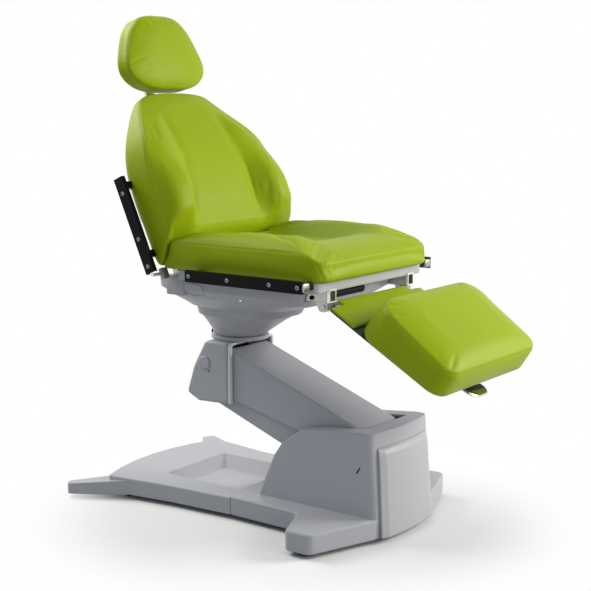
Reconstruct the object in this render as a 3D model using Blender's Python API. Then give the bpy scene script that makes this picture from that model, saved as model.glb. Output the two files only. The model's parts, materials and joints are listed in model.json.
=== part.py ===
"""Orthodontic chair: floor base, parallelogram lift arm, swivelling seat, reclining back, headrest, legrest.

Metres, +Z up. The chair faces -Y, the sitter's left is +X, and the floor is z = 0.
"""

import math

import bmesh
import bpy
from mathutils import Vector

# Clearances
GAP = 0.0003            # faces that touch
PIN_GAP = 0.0004        # round a pin in its bore
SIDE_GAP = 0.0015       # between plates that turn past each other
EYE_PLAY = 0.009        # round the pin in a push rod's eye

# Floor base
PLATE_BOTTOM = 0.013
PLATE_TOP = 0.066
SHELL_WALL = 0.006
SEAM_Y = 0.098
SEAM_HALF = 0.215
REAR_CORNER_HALF = 0.262
REAR_CORNER_Y = 0.540
REAR_EDGE_Y = 0.596
TOE_TIP_X = 0.342
TOE_TIP_Y = 0.652
TOE_TIP_TOP = 0.042
TOE_WIDTH = 0.040
RECESS_HALF = 0.140
RECESS_FRONT_Y = 0.122
RECESS_REAR_Y = 0.412
RECESS_FLOOR = 0.031
RECESS_SLOPE = 0.034
FOOT_RADIUS = 0.021
FRONT_TOE_X = 0.357
FRONT_TOE_FRONT_Y = -0.283
FRONT_TOE_REAR_Y = -0.203
FOOT_PLATE_TOP = 0.070
SPINE_HALF = 0.058
SPINE_THICK = 0.010
FLOOR_BEAM_HALF = 0.024

# Front housing
HOUSING_HALF = 0.150
HOUSING_TOP = 0.307
HOUSING_FRONT_Y = -0.357
HOUSING_FRONT_LEAN = 0.074
HOUSING_BOW = 0.014
HOUSING_CORNER = 0.018
PANEL_HALF = 0.128
PANEL_TOP = 0.264
PANEL_PROUD = 0.014

# Lift arm, measured from the arm's lower pivot
ARM_PIVOT_Y = -0.246
ARM_PIVOT_Z = 0.263
ARM_LENGTH = 0.500
ARM_ANGLE = math.radians(20.5)
LINK_OFFSET_Y = 0.045
LINK_OFFSET_Z = -0.075
ARM_HALF = 0.092
ARM_WALL = 0.0045
ARM_TOP = 0.040
ARM_SKIRT_LOW_END = 0.048
ARM_SKIRT_HIGH_END = 0.103
LINK_HALF = 0.082
LINK_WALL = 0.008
LINK_DEPTH = 0.053
LINK_RISE = 0.022
BEAM_HALF = 0.068
BEAM_WALL = 0.008
LUG_OUTER = 0.0555
LUG_INNER = 0.036
LUG_RADIUS = 0.024
PIN_RADIUS = 0.010
TUBE_RADIUS = 0.024
TUBE_LENGTH = 0.330
ROD_RADIUS = 0.011

# Knuckle, measured from the arm's upper pivot
KNUCKLE_HALF = 0.107
KNUCKLE_WALL = 0.005
KNUCKLE_TOP = 0.0535
KNUCKLE_DROP = 0.136
KNUCKLE_REAR = 0.132
KNUCKLE_FRONT = 0.030
RIM_THICK = 0.010
CAP_RADIUS = 0.021
CAP_THICK = 0.0045
SWIVEL_OFFSET = 0.006
DISC_RADIUS = 0.088
DISC_THICK = 0.0127
SPINDLE_RADIUS = 0.020
BOSS_RADIUS = 0.034

# Seat, measured from the swivel axis at the top of the bearing disc
HINGE_RADIUS = 0.007
SEAT_TUBE_X = 0.200
SEAT_TUBE_SIZE = 0.030
SEAT_TUBE_WALL = 0.003
SEAT_TUBE_Z = 0.162
SEAT_TUBE_OPEN = 0.120
SEAT_FRONT = -0.468
LOCK_RADIUS = 0.0125
LOCK_SETBACK = 0.028
LOCK_END_X = 0.004
TEE_FRONT = -0.060
TEE_BAR = 0.028
TEE_HALF = 0.050
CLEVIS_PLATE = 0.006
CLEVIS_PIN = 0.005
TRAY_HALF = 0.270
TRAY_THICK = 0.029
TRAY_REAR = 0.018
SEAT_PAD_HALF = 0.284
SEAT_PAD_FRONT = -0.500
SEAT_PAD_REAR = 0.058
SEAT_PAD_CORNER = 0.044
SEAT_REAR_CORNER = 0.022
SEAT_REAR_NOTCH = 0.140
SEAT_PAD_EDGE = 0.068
SEAT_PAD_THICK = 0.074
SEAT_BOLSTER = 0.040
SEAT_ROLL = 0.014
SEAT_FALL = 0.022
SEAT_REAR_LEAN = 0.45
RAIL_X = 0.330
RAIL_HEIGHT = 0.033
RAIL_WEB = 0.005
RAIL_FLANGE = 0.014
RAIL_LIP = 0.003
SPACER_SIZE = 0.020
SEAT_RAIL_LENGTH = 0.400
SEAT_RAIL_Z = 0.216
COVER_WALL = 0.005
COVER_FOOT = 0.078
COVER_HALF = 0.253
COVER_FRONT = 0.418
COVER_REAR = 0.135
TURNTABLE_RADIUS = 0.070
TURNTABLE_THICK = 0.012
COLUMN_RADIUS = 0.034
CROSS_THICK = 0.015

# Backrest, measured from its hinge
BACK_HINGE_Y = 0.044
BACK_ANGLE = math.radians(24.5)
BACK_ARM_THICK = 0.009
BACK_ARM_LENGTH = 0.340
BACK_FRAME_HALF = 0.008
BOARD_THICK = 0.012
BACK_SHELL_DEPTH = 0.030
BACK_PAD_HALF = 0.289
BACK_PAD_LOW = 0.055
BACK_PAD_TOP = 0.584
BACK_PAD_EDGE = 0.085
BACK_EDGE_TOP = 0.030
BACK_PAD_THICK = 0.092
BACK_BOLSTER = 0.055
BACK_LIP = 0.09
BACK_CROSS_Z = 0.110
CROSS_BAR = 0.030
# Right half of the outline, bottom to top: shares of the half width and of the height
BACK_SHAPE = ((0.0, 0.005), (0.35, 0.0), (0.760, 0.0), (0.915, 0.014), (0.975, 0.060), (0.995, 0.170),
              (1.0, 0.390), (0.976, 0.540), (0.916, 0.652), (0.825, 0.746), (0.699, 0.845), (0.570, 0.930),
              (0.448, 0.978), (0.238, 0.997), (0.0, 1.0))
BACK_RAIL_LOW = 0.040
BACK_RAIL_LENGTH = 0.290
LEVER_LENGTH = 0.060
LEVER_HALF = 0.018
LEVER_X = 0.095
LEVER_PLATE = 0.008
ACTUATOR_MOUNT = 0.190
EYE_HALF = 0.014
BACK_TUBE_RADIUS = 0.016
BACK_TUBE_LENGTH = 0.200
BACK_ROD_RADIUS = 0.008

# Headrest, measured from its tilt axis behind the pad
HEAD_AXIS_UP = 0.703
HEAD_AXIS_BACK = 0.060
HEAD_LEAN = math.radians(8.6)
HEAD_BAR_HALF = 0.020
HEAD_BAR_THICK = 0.008
HEAD_BAR_LENGTH = 0.300
HEAD_PIN = 0.004
HEAD_PLATE_THICK = 0.008
HEAD_PLATE_REACH = 0.0445
HEAD_PAD_HALF = 0.173
HEAD_PAD_UP = 0.138
HEAD_PAD_DOWN = 0.099
HEAD_PAD_EDGE = 0.050
HEAD_PAD_THICK = 0.076
GUIDE_HEIGHT = 0.065
GUIDE_SETBACK = 0.020
KNOB_RADIUS = 0.021
# Right half of the outline, bottom to top: shares of the half width and of the reach down or up
HEAD_SHAPE = ((0.0, -1.0), (0.405, -0.98), (0.74, -0.828), (0.96, -0.505), (1.0, -0.121), (0.879, 0.326),
              (0.728, 0.667), (0.509, 0.913), (0.26, 0.993), (0.0, 1.0))

# Legrest, measured from its hinge
LEG_HINGE_SETBACK = 0.012
LEG_HINGE_DROP = 0.012
LEG_ANGLE = math.radians(30.5)
LEG_ARM_HALF = 0.008
LEG_ARM_THICK = 0.007
LEG_LENGTH = 0.424
LEG_PAD_START = 0.132
LEG_PAD_HALF = 0.250
LEG_THIN_HALF = 0.236
LEG_PAD_REAR = 0.024
LEG_APRON_REAR = 0.003
LEG_PAD_CORNER = 0.045
LEG_PAD_EDGE = 0.080
LEG_PAD_WEDGE = 0.032
LEG_PAD_CROWN = 0.015
LEG_REAR_LEAN = 0.20
LEG_THIN_THICK = 0.013
PADDLE_LENGTH = 0.066
PADDLE_HALF = 0.046
PADDLE_PIN = 0.003
PADDLE_DIP = math.radians(4.0)
PADDLE_REACH = LEG_LENGTH - 0.052
PADDLE_DROP = LEG_ARM_HALF + 0.006

# Places that follow from the sizes above
FRONT_BEAM_Y = (FRONT_TOE_REAR_Y + FRONT_TOE_FRONT_Y) / 2
FRONT_FOOT_X = FRONT_TOE_X - 2 * FOOT_RADIUS
REAR_BEAM_X = REAR_CORNER_HALF - 0.030
REAR_BEAM_Y = REAR_CORNER_Y - 0.020 - FLOOR_BEAM_HALF
HINGE_EYE = HINGE_RADIUS + 0.006
ARM_TOP_PIVOT_Y = ARM_PIVOT_Y + ARM_LENGTH * math.cos(ARM_ANGLE)
ARM_TOP_PIVOT_Z = ARM_PIVOT_Z + ARM_LENGTH * math.sin(ARM_ANGLE)
LINK_DROP = LINK_OFFSET_Y * math.sin(ARM_ANGLE) - LINK_OFFSET_Z * math.cos(ARM_ANGLE)
LINK_SHIFT = LINK_OFFSET_Y * math.cos(ARM_ANGLE) + LINK_OFFSET_Z * math.sin(ARM_ANGLE)
DISC_BOTTOM_Z = ARM_TOP_PIVOT_Z + KNUCKLE_TOP + GAP
SEAT_Y = ARM_TOP_PIVOT_Y + SWIVEL_OFFSET
SEAT_Z = DISC_BOTTOM_Z + DISC_THICK
SEAT_TUBE_TOP = SEAT_TUBE_Z + SEAT_TUBE_SIZE
TRAY_BOTTOM = SEAT_TUBE_TOP + GAP
TRAY_TOP = TRAY_BOTTOM + TRAY_THICK
COVER_RIM_Z = TRAY_BOTTOM - 2 * GAP
ACTUATOR_Z = SEAT_TUBE_Z - 0.010
BACK_HINGE_Z = SEAT_TUBE_Z + SEAT_TUBE_SIZE / 2
BACK_ARM_IN = SEAT_TUBE_X + SEAT_TUBE_SIZE / 2 + SIDE_GAP
BACK_SPACERS = (BACK_RAIL_LOW + 0.046, BACK_RAIL_LOW + BACK_RAIL_LENGTH - 0.034)
LEG_HINGE_Y = SEAT_FRONT + LEG_HINGE_SETBACK
LEG_HINGE_Z = SEAT_TUBE_Z - LEG_HINGE_DROP
LEG_ARM_OUT = SEAT_TUBE_X - SEAT_TUBE_SIZE / 2 - SIDE_GAP
BOARD_FRONT = BACK_FRAME_HALF + GAP + BOARD_THICK
SHELL_BACK = BACK_FRAME_HALF + GAP + BACK_SHELL_DEPTH
HEAD_BAR_FRONT = HEAD_AXIS_BACK - HEAD_BAR_THICK / 2
HEAD_PLATE_AHEAD = HEAD_BAR_THICK / 2 + HEAD_PLATE_REACH
GUIDE_LOW = HEAD_AXIS_UP - HEAD_BAR_LENGTH + GUIDE_SETBACK
GUIDE_BACK = HEAD_AXIS_BACK + HEAD_BAR_THICK / 2 + 0.010
LEG_PLATE_TOP = LEG_ARM_HALF + GAP + 0.0055


def clear_scene():
    for obj in list(bpy.data.objects):
        bpy.data.objects.remove(obj, do_unlink=True)


def finish(name, colour, roughness, metallic=0.0):
    made = bpy.data.materials.new(name)
    made.use_nodes = True
    shader = made.node_tree.nodes["Principled BSDF"]
    shader.inputs["Base Color"].default_value = (*colour, 1.0)
    shader.inputs["Roughness"].default_value = roughness
    shader.inputs["Metallic"].default_value = metallic
    return made


def pivot(name, y, z, turn=0.0, x=0.0):
    """An empty on a joint's axis; the pieces that move with the joint are its children."""
    empty = bpy.data.objects.new(name, None)
    empty.location = (x, y, z)
    empty.rotation_euler = (turn, 0.0, 0.0)
    bpy.context.scene.collection.objects.link(empty)
    return empty


def add(name, bm, parent, material, smooth=35.0, helper=False):
    """Makes an object of a bmesh, under a pivot."""
    bmesh.ops.recalc_face_normals(bm, faces=bm.faces)
    mesh = bpy.data.meshes.new(name)
    bm.to_mesh(mesh)
    bm.free()
    mesh.shade_smooth()
    mesh.set_sharp_from_angle(angle=math.radians(smooth))
    obj = bpy.data.objects.new(name, mesh)
    obj.parent = parent
    bpy.context.scene.collection.objects.link(obj)
    if helper:
        obj.hide_render = True
        obj.display_type = "WIRE"
    else:
        mesh.materials.append(material)
    return obj


def bevel(obj, width, segments=1, angle=40.0):
    made = obj.modifiers.new("edge", "BEVEL")
    made.width = width
    made.segments = segments
    made.limit_method = "ANGLE"
    made.angle_limit = math.radians(angle)
    return obj


def combine(obj, bm, operation="DIFFERENCE"):
    """Cuts a bmesh from an object, or joins it on, with a Boolean."""
    tool = add(f"{obj.name}_tool{len(obj.modifiers)}", bm, obj.parent, None, helper=True)
    made = obj.modifiers.new("boolean", "BOOLEAN")
    made.operation = operation
    made.object = tool
    return obj


def round_corners(corners, steps=4):
    """A closed outline from (a, b, radius) corners, each round one an arc that touches both sides."""
    points = []
    for i, (a, b, radius) in enumerate(corners):
        here = Vector((a, b))
        before = (Vector(corners[i - 1][:2]) - here).normalized()
        after = (Vector(corners[(i + 1) % len(corners)][:2]) - here).normalized()
        if radius == 0.0:
            points.append((a, b))
            continue
        half = before.angle(after) / 2
        run = radius / math.tan(half)
        centre = here + (before + after).normalized() * (radius / math.sin(half))
        start = here + before * run - centre
        sweep = start.angle_signed(here + after * run - centre)
        for k in range(steps + 1):
            turn = -sweep * k / steps
            c, s = math.cos(turn), math.sin(turn)
            points.append((centre.x + c * start.x - s * start.y, centre.y + s * start.x + c * start.y))
    return points


def smooth_loop(half, per=2):
    """A closed outline, alike on both sides of x = 0, curved smoothly through its right half's points."""
    loop = half + [(-x, y) for x, y in reversed(half[1:-1])]
    count = len(loop)
    points = []
    for i in range(count):
        p0, p1, p2, p3 = (Vector(loop[(i + k - 1) % count]) for k in range(4))
        for k in range(per):
            t = k / per
            bent = (2 * p1 + (p2 - p0) * t + (2 * p0 - 5 * p1 + 4 * p2 - p3) * t**2
                    + (3 * p1 - p0 - 3 * p2 + p3) * t**3) / 2
            points.append((bent.x, bent.y))
    return points


def mirrored(half):
    """A closed outline from the right half's (x, y, radius) corners."""
    return half + [(-x, y, r) for x, y, r in reversed(half) if x != 0.0]


def loft(rings):
    """A closed solid through rings of equally many points, with its two ends capped."""
    bm = bmesh.new()
    rows = [[bm.verts.new(p) for p in ring] for ring in rings]
    for low, high in zip(rows, rows[1:]):
        for i in range(len(low)):
            j = (i + 1) % len(low)
            bm.faces.new((low[i], low[j], high[j], high[i]))
    bm.faces.new(rows[0])
    bm.faces.new(rows[-1])
    return bm


def skin(outer, inner):
    """A shell between two lofts, open at both of their ends."""
    bm = bmesh.new()
    rings = outer + list(reversed(inner))
    rows = [[bm.verts.new(p) for p in ring] for ring in rings]
    rows.append(rows[0])
    for low, high in zip(rows, rows[1:]):
        for i in range(len(low)):
            j = (i + 1) % len(low)
            bm.faces.new((low[i], low[j], high[j], high[i]))
    return bm


def prism(outline, x0, x1):
    """A (y, z) outline drawn out along X."""
    return loft([[(x, y, z) for y, z in outline] for x in (x0, x1)])


def slab(outline, z0, z1):
    """An (x, y) outline drawn out along Z."""
    return loft([[(x, y, z) for x, y in outline] for z in (z0, z1)])


def block(x0, x1, y0, y1, z0, z1):
    return slab([(x0, y0), (x1, y0), (x1, y1), (x0, y1)], z0, z1)


def circle(radius, count, a=0.0, b=0.0):
    turns = [2 * math.pi * k / count for k in range(count)]
    return [(a + radius * math.cos(t), b + radius * math.sin(t)) for t in turns]


def pin(radius, x0, x1, y=0.0, z=0.0, count=16):
    return prism(circle(radius, count, y, z), x0, x1)


def post(radius, z0, z1, x=0.0, y=0.0, count=24):
    return slab(circle(radius, count, x, y), z0, z1)


def along(radius, start, end, count=20):
    """A round bar between two (y, z) points."""
    way = (Vector((0.0, *end)) - Vector((0.0, *start))).normalized()
    side = Vector((1.0, 0.0, 0.0))
    up = way.cross(side)
    rings = []
    for y, z in (start, end):
        rings.append([Vector((0.0, y, z)) + side * a + up * b for a, b in circle(radius, count)])
    return loft(rings)


def ease(value, low, high):
    """0 below low, 1 above high, and smooth between."""
    t = min(max((value - low) / (high - low), 0.0), 1.0)
    return t * t * (3 - 2 * t)


def cushion(outline, centre, edge, crown, place, draw=0.985, full=9):
    """A stuffed pad: flat back, sides drawn in between two seams, and a crowned face.

    outline is the sewn edge; edge and crown give the heights of its upper seam and of its face at a point;
    place puts (across, along, height) into the pivot's axes; a higher full makes its shoulders squarer.
    """
    rings = []

    def ring(share, height):
        points = [Vector(centre).lerp(Vector(point), share) for point in outline]
        rings.append([place(a, b, height(a, b)) for a, b in points])

    for share, part in ((0.96, 0.0), (0.99, 0.12), (draw, 0.5), (0.995, 0.88), (1.0, 1.0)):
        ring(share, lambda a, b: part * edge(a, b))
    for share in (0.98, 0.93, 0.84, 0.70, 0.45):
        rise = 1.0 - share**full
        ring(share, lambda a, b: edge(a, b) + rise * (crown(a, b) - edge(a, b)))
    return loft(rings)


def oval_ring(half, front, rear, power, z, inset=0.0, count=32):
    """A level ring between a circle (power 2) and a rounded box (higher powers)."""
    middle, reach = (front + rear) / 2, (rear - front) / 2
    points = []
    for a, b in circle(1.0, count):
        x = (half - inset) * math.copysign(abs(a) ** (2 / power), a)
        y = middle + (reach - inset) * math.copysign(abs(b) ** (2 / power), b)
        points.append((x, y, z))
    return points


def housing_front(x, z):
    """The bowed, slightly leaning front of the housing."""
    bow = HOUSING_BOW * (1 - (x / HOUSING_HALF) ** 2)
    return HOUSING_FRONT_Y + HOUSING_FRONT_LEAN * (z - FOOT_PLATE_TOP) - bow


def rear_plan(inset):
    """The rear base cover's outline: waisted sides and a bowed rear edge."""
    bow = REAR_EDGE_Y - REAR_CORNER_Y
    seam, corner = SEAM_HALF - inset, REAR_CORNER_HALF - inset
    waist = seam + 0.3 * (corner - seam)
    middle = (SEAM_Y + REAR_CORNER_Y) / 2
    half = [(seam, SEAM_Y + inset, 0.0), (waist, middle, 0.0), (corner, REAR_CORNER_Y - inset, 0.012)]
    for share in (0.66, 0.33, 0.0):
        half.append((share * corner, REAR_EDGE_Y - bow * share**2 - inset, 0.0))
    return round_corners(mirrored(half))


def spine_notch():
    """Gateway for the steel spine through the two covers' walls at the seam."""
    half = SPINE_HALF + GAP
    return block(-half, half, SEAM_Y - 0.02, SEAM_Y + 0.02, 0.0, PLATE_BOTTOM + SPINE_THICK + SIDE_GAP)


def rear_base_cover(parent, paint):
    """Moulded cover with a sunken tray for the lowered knuckle and two long rear toes."""
    body = slab(rear_plan(0.0), PLATE_BOTTOM, PLATE_TOP)
    cover = bevel(add("rear_base_cover", body, parent, paint), 0.004, 2)
    for side in (1, -1):
        root_x, root_y = REAR_CORNER_HALF - 0.010, REAR_CORNER_Y - 0.070
        corners = [(root_x, root_y, 0.0), (TOE_TIP_X + 0.2 * TOE_WIDTH, TOE_TIP_Y - 0.55 * TOE_WIDTH, 0.014),
                   (TOE_TIP_X - 0.65 * TOE_WIDTH, TOE_TIP_Y, 0.014), (root_x - 0.075, root_y + 0.062, 0.0)]
        outline = [(side * x, y) for x, y in round_corners(corners)]
        fall = (PLATE_TOP - 0.008 - TOE_TIP_TOP) / (TOE_TIP_Y - root_y)
        tops = [(x, y, PLATE_TOP - 0.008 - fall * (y - root_y)) for x, y in outline]
        combine(cover, loft([[(x, y, PLATE_BOTTOM) for x, y in outline], tops]), "UNION")
    combine(cover, slab(rear_plan(SHELL_WALL), 0.0, PLATE_TOP - SHELL_WALL))
    combine(cover, spine_notch())
    middle = (RECESS_FRONT_Y + RECESS_REAR_Y) / 2
    reach = (RECESS_REAR_Y - RECESS_FRONT_Y) / 2
    for grow, low, high, operation in ((SHELL_WALL * 0.8, RECESS_FLOOR - 0.0045, PLATE_TOP - 0.001, "UNION"),
                                       (0.0, RECESS_FLOOR, PLATE_TOP + 0.001, "DIFFERENCE")):
        rings = []
        for z, pull in ((low, RECESS_SLOPE), (high, 0.0)):
            a, b = RECESS_HALF + grow - pull, reach + grow - pull
            corners = mirrored([(a, middle - b, 0.012), (a, middle + b, 0.012)])
            rings.append([(x, y, z) for x, y in round_corners(corners)])
        combine(cover, loft(rings), operation)
    return cover


def foot_plan(inset):
    """The front foot's outline, with its two splayed toes and the bowed front."""
    front = housing_front(HOUSING_HALF, FOOT_PLATE_TOP) + inset
    half = [(SEAM_HALF - inset, SEAM_Y - GAP - inset, 0.0),
            (SEAM_HALF + 0.004 - inset, FRONT_TOE_REAR_Y + 0.056, 0.030),
            (FRONT_TOE_X - inset, FRONT_TOE_REAR_Y - inset, 0.022),
            (FRONT_TOE_X - inset, FRONT_TOE_FRONT_Y + inset, 0.026),
            (HOUSING_HALF - inset, front, 0.030)]
    for share in (0.6, 0.3, 0.0):
        x = share * HOUSING_HALF
        half.append((x, housing_front(x, FOOT_PLATE_TOP) + inset, 0.0))
    return round_corners(mirrored(half))


def housing_rings(inset):
    """Level rings of the housing, whose rear edge curves forward as it rises."""
    rise = HOUSING_TOP - FOOT_PLATE_TOP
    shape = ((-0.04, 0.405), (0.25, 0.377), (0.54, 0.346), (0.70, 0.319), (0.82, 0.281), (0.895, 0.254),
             (0.945, 0.191), (1.0, 0.058))
    rings = []
    for share, depth in shape:
        z = FOOT_PLATE_TOP + share * rise - inset
        a = HOUSING_HALF - inset
        rear = HOUSING_FRONT_Y + depth - inset
        half = [(a, rear, 0.006), (a, housing_front(HOUSING_HALF, z) + inset, HOUSING_CORNER - inset / 2)]
        for part in (0.6, 0.3, 0.0):
            half.append((part * a, housing_front(part * a, z) + inset, 0.0))
        rings.append([(x, y, z) for x, y in round_corners(mirrored(half), 3)])
    return rings


def front_housing(parent, paint):
    """Two cheeks, a bowed front and the front foot, open behind and above for the arm."""
    foot = slab(foot_plan(0.0), PLATE_BOTTOM, FOOT_PLATE_TOP)
    housing = bevel(add("front_housing", foot, parent, paint), 0.005, 2)
    combine(housing, loft(housing_rings(0.0)), "UNION")
    combine(housing, slab(foot_plan(SHELL_WALL), 0.0, FOOT_PLATE_TOP - SHELL_WALL))
    combine(housing, spine_notch())
    hollow = housing_rings(SHELL_WALL)
    hollow[0] = [(x, y, FOOT_PLATE_TOP) for x, y, z in hollow[0]]
    combine(housing, loft(hollow))
    well = LUG_OUTER + 0.004
    combine(housing, block(-well, well, ARM_PIVOT_Y - 0.056, ARM_PIVOT_Y + 0.105, 0.0, FOOT_PLATE_TOP + 0.01))
    slot_half = ARM_HALF + 0.0065
    slot_front = ARM_PIVOT_Y - 0.056
    combine(housing, block(-slot_half, slot_half, slot_front, SEAM_Y - 0.030,
                           FOOT_PLATE_TOP - 0.004, HOUSING_TOP + 0.1))
    return housing


def front_panel(parent, paint):
    """Bowed panel, proud of the housing, with a rolled top edge."""
    rings = []
    across = [k / 6 - 1 for k in range(13)]
    stations = ((PLATE_BOTTOM + 0.004, 0.9, 1.04), (PANEL_TOP - 0.040, 1.0, 1.0),
                (PANEL_TOP - 0.018, 0.86, 0.995), (PANEL_TOP - 0.006, 0.55, 0.985), (PANEL_TOP, 0.15, 0.975))
    for z, proud, half in stations:
        ring = []
        for layer, order in ((0.0, across), (1.0, across[::-1])):
            for a in order:
                x = a * PANEL_HALF * half
                edge = 1.0 - 0.45 * max(0.0, (abs(a) - 0.9) / 0.1)
                y = housing_front(x, z) - 2 * GAP - layer * PANEL_PROUD * proud * edge
                ring.append((x, y, z))
        rings.append(ring)
    return add("front_panel", loft(rings), parent, paint)


def levelling_feet(parent, rubber):
    """Four rubber feet under the ends of the frame's cross beams."""
    places = {"front": (FRONT_FOOT_X, FRONT_BEAM_Y), "rear": (REAR_BEAM_X - FOOT_RADIUS, REAR_BEAM_Y)}
    for end, (x, y) in places.items():
        for side, word in ((1, "left"), (-1, "right")):
            profile = ((FOOT_RADIUS - 0.002, 0.0), (FOOT_RADIUS, 0.003), (FOOT_RADIUS, PLATE_BOTTOM))
            rings = [[(a, b, z) for a, b in circle(r, 16, side * x, y)] for r, z in profile]
            add(f"foot_{end}_{word}", loft(rings), parent, rubber)


def floor_frame(parent, steel):
    """Flat steel spine with a cross beam over the front feet and one behind the tray."""
    low, high = PLATE_BOTTOM + GAP, PLATE_BOTTOM + GAP + SPINE_THICK
    front_x = FRONT_FOOT_X + FOOT_RADIUS / 2
    half = []
    for x, y, corner in ((REAR_BEAM_X, REAR_BEAM_Y, 0.0), (front_x, FRONT_BEAM_Y, 0.010)):
        near, far = y + FLOOR_BEAM_HALF, y - FLOOR_BEAM_HALF
        if half:
            half.append((SPINE_HALF, near, 0.0))
        half += [(x, near, corner), (x, far, corner), (SPINE_HALF, far, 0.0)]
    add("floor_frame", slab(round_corners(mirrored(half)), low, high), parent, steel)
    return high


def bored(obj, radius, places, half):
    for y, z in places:
        combine(obj, pin(radius + PIN_GAP, -half, half, y, z))
    return obj


def lift_tower(parent, steel, floor):
    """Twin-plate bracket on the spine that carries the lower pivots of arm and link."""
    foot = floor + GAP - ARM_PIVOT_Z
    corners = [(-0.052, foot, 0.0), (0.095, foot, 0.0), (0.095, foot + 0.016, 0.004),
               (LINK_OFFSET_Y + LUG_RADIUS, LINK_OFFSET_Z - 0.035, 0.010),
               (LINK_OFFSET_Y + LUG_RADIUS, LINK_OFFSET_Z + LUG_RADIUS, 0.018),
               (LUG_RADIUS, LUG_RADIUS, 0.020), (-LUG_RADIUS, LUG_RADIUS, 0.020),
               (-LUG_RADIUS, -LUG_RADIUS, 0.015),
               (-0.052, foot + 0.016, 0.004)]
    tower = add("lift_tower", prism(round_corners(corners), -LUG_OUTER, LUG_OUTER), parent, steel)
    combine(tower, block(-LUG_INNER, LUG_INNER, -0.2, 0.2, foot + 0.012, 0.2))
    return bored(tower, PIN_RADIUS, ((0.0, 0.0), (LINK_OFFSET_Y, LINK_OFFSET_Z)), 0.2)


def arm_pieces(parent, paint, steel):
    """Painted cover shaped as an upturned trough, over a steel channel beam."""
    low_end, high_end = -0.034, ARM_LENGTH - 0.010
    outline = [(low_end, ARM_TOP, 0.0), (low_end, -ARM_SKIRT_LOW_END + 0.004, 0.0),
               (high_end - 0.030, -ARM_SKIRT_HIGH_END, 0.0), (high_end, -ARM_SKIRT_HIGH_END + 0.034, 0.0),
               (high_end, ARM_TOP, 0.0)]
    cover = add("arm_cover", prism(round_corners(outline), -ARM_HALF, ARM_HALF), parent, paint)
    bevel(cover, 0.004, 2)
    inner = ARM_HALF - ARM_WALL
    combine(cover, block(-inner, inner, -1.0, 1.0, -0.5, ARM_TOP - ARM_WALL))
    top = ARM_TOP - ARM_WALL - GAP
    beam_low = -0.036
    profile = [(-0.030, beam_low, 0.024), (ARM_LENGTH + 0.030, beam_low, 0.024),
               (ARM_LENGTH + 0.030, 0.020, 0.018),
               (ARM_LENGTH - 0.060, top, 0.010), (-0.010, top, 0.010), (-0.030, 0.016, 0.010)]
    beam = add("arm_beam", prism(round_corners(profile), -BEAM_HALF, BEAM_HALF), parent, steel)
    inside = BEAM_HALF - BEAM_WALL
    combine(beam, block(-inside, inside, -1.0, 1.0, -0.5, top - BEAM_WALL))
    combine(beam, block(-inside, inside, ARM_LENGTH - 0.075, 1.0, -0.5, 0.5))
    bored(beam, PIN_RADIUS, ((0.0, 0.0), (ARM_LENGTH, 0.0)), 0.2)


def lower_link(parent, paint):
    """Open trough that keeps the seat level, nested inside the arm cover's skirt."""
    end = 0.034
    corners = [(-end, -0.030, 0.022), (0.060, -LINK_DEPTH, 0.020), (ARM_LENGTH + 0.020, -LINK_DEPTH, 0.030),
               (ARM_LENGTH + end, -0.020, 0.020), (ARM_LENGTH + end, LINK_RISE, 0.020),
               (-end, LINK_RISE, 0.020)]
    trough = prism(round_corners(corners), -LINK_HALF, LINK_HALF)
    link = bevel(add("lower_link", trough, parent, paint), 0.002, 1)
    inner = LINK_HALF - LINK_WALL
    combine(link, block(-inner, inner, -1.0, 1.0, -LINK_DEPTH + 0.006, 0.5))
    combine(link, block(-inner, inner, -1.0, 0.080, -0.5, 0.5))
    bored(link, PIN_RADIUS, ((0.0, 0.0), (ARM_LENGTH, 0.0)), 0.2)


def pivot_pins(base, knuckle, chrome):
    """Through pins: the arm's reach the beam plates, the link's reach its side walls."""
    pins = (("arm", BEAM_HALF, 0.0, 0.0), ("link", LINK_HALF, LINK_OFFSET_Y, LINK_OFFSET_Z))
    for parent, end in ((base, "lower"), (knuckle, "upper")):
        for word, half, y, z in pins:
            add(f"{word}_pin_{end}", pin(PIN_RADIUS, -half - 0.001, half + 0.001, y, z), parent, chrome)


def lift_actuator(tube_pivot, rod_pivot, plastic, chrome, reach):
    """Push actuator across the parallelogram's diagonal, from the link's lower pin to the arm's upper pin."""
    body = add("lift_tube", along(TUBE_RADIUS, (0.020, 0.0), (TUBE_LENGTH, 0.0)), tube_pivot, plastic)
    eye_half = LUG_INNER - 0.006
    combine(body, pin(0.024, -eye_half, eye_half), "UNION")
    combine(body, pin(PIN_RADIUS + PIN_GAP, -0.1, 0.1))
    combine(body, along(ROD_RADIUS + PIN_GAP, (0.060, 0.0), (TUBE_LENGTH + 0.1, 0.0)))
    eye = PIN_RADIUS + EYE_PLAY
    rod = add("lift_rod", along(ROD_RADIUS, (0.150, 0.0), (reach - eye - 0.002, 0.0)), rod_pivot, chrome)
    combine(rod, pin(eye + 0.008, -0.012, 0.012, reach, 0.0, 24), "UNION")
    combine(rod, pin(eye, -0.1, 0.1, reach, 0.0, 24))


def knuckle_profile(inset, floor):
    """Side view of the knuckle: flat top, sloped rear and a shallow vee below."""
    front = -KNUCKLE_FRONT
    return [(front, KNUCKLE_TOP - inset, 0.0), (0.058 - inset / 2, KNUCKLE_TOP - inset, 0.022),
            (0.105 - inset, -0.030, 0.12), (KNUCKLE_REAR - inset, -KNUCKLE_DROP + 0.022, 0.012),
            (0.086, -KNUCKLE_DROP - floor, 0.020 if floor == 0.0 else 0.0),
            (front, -KNUCKLE_DROP + 0.004 - floor, 0.0)]


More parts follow.
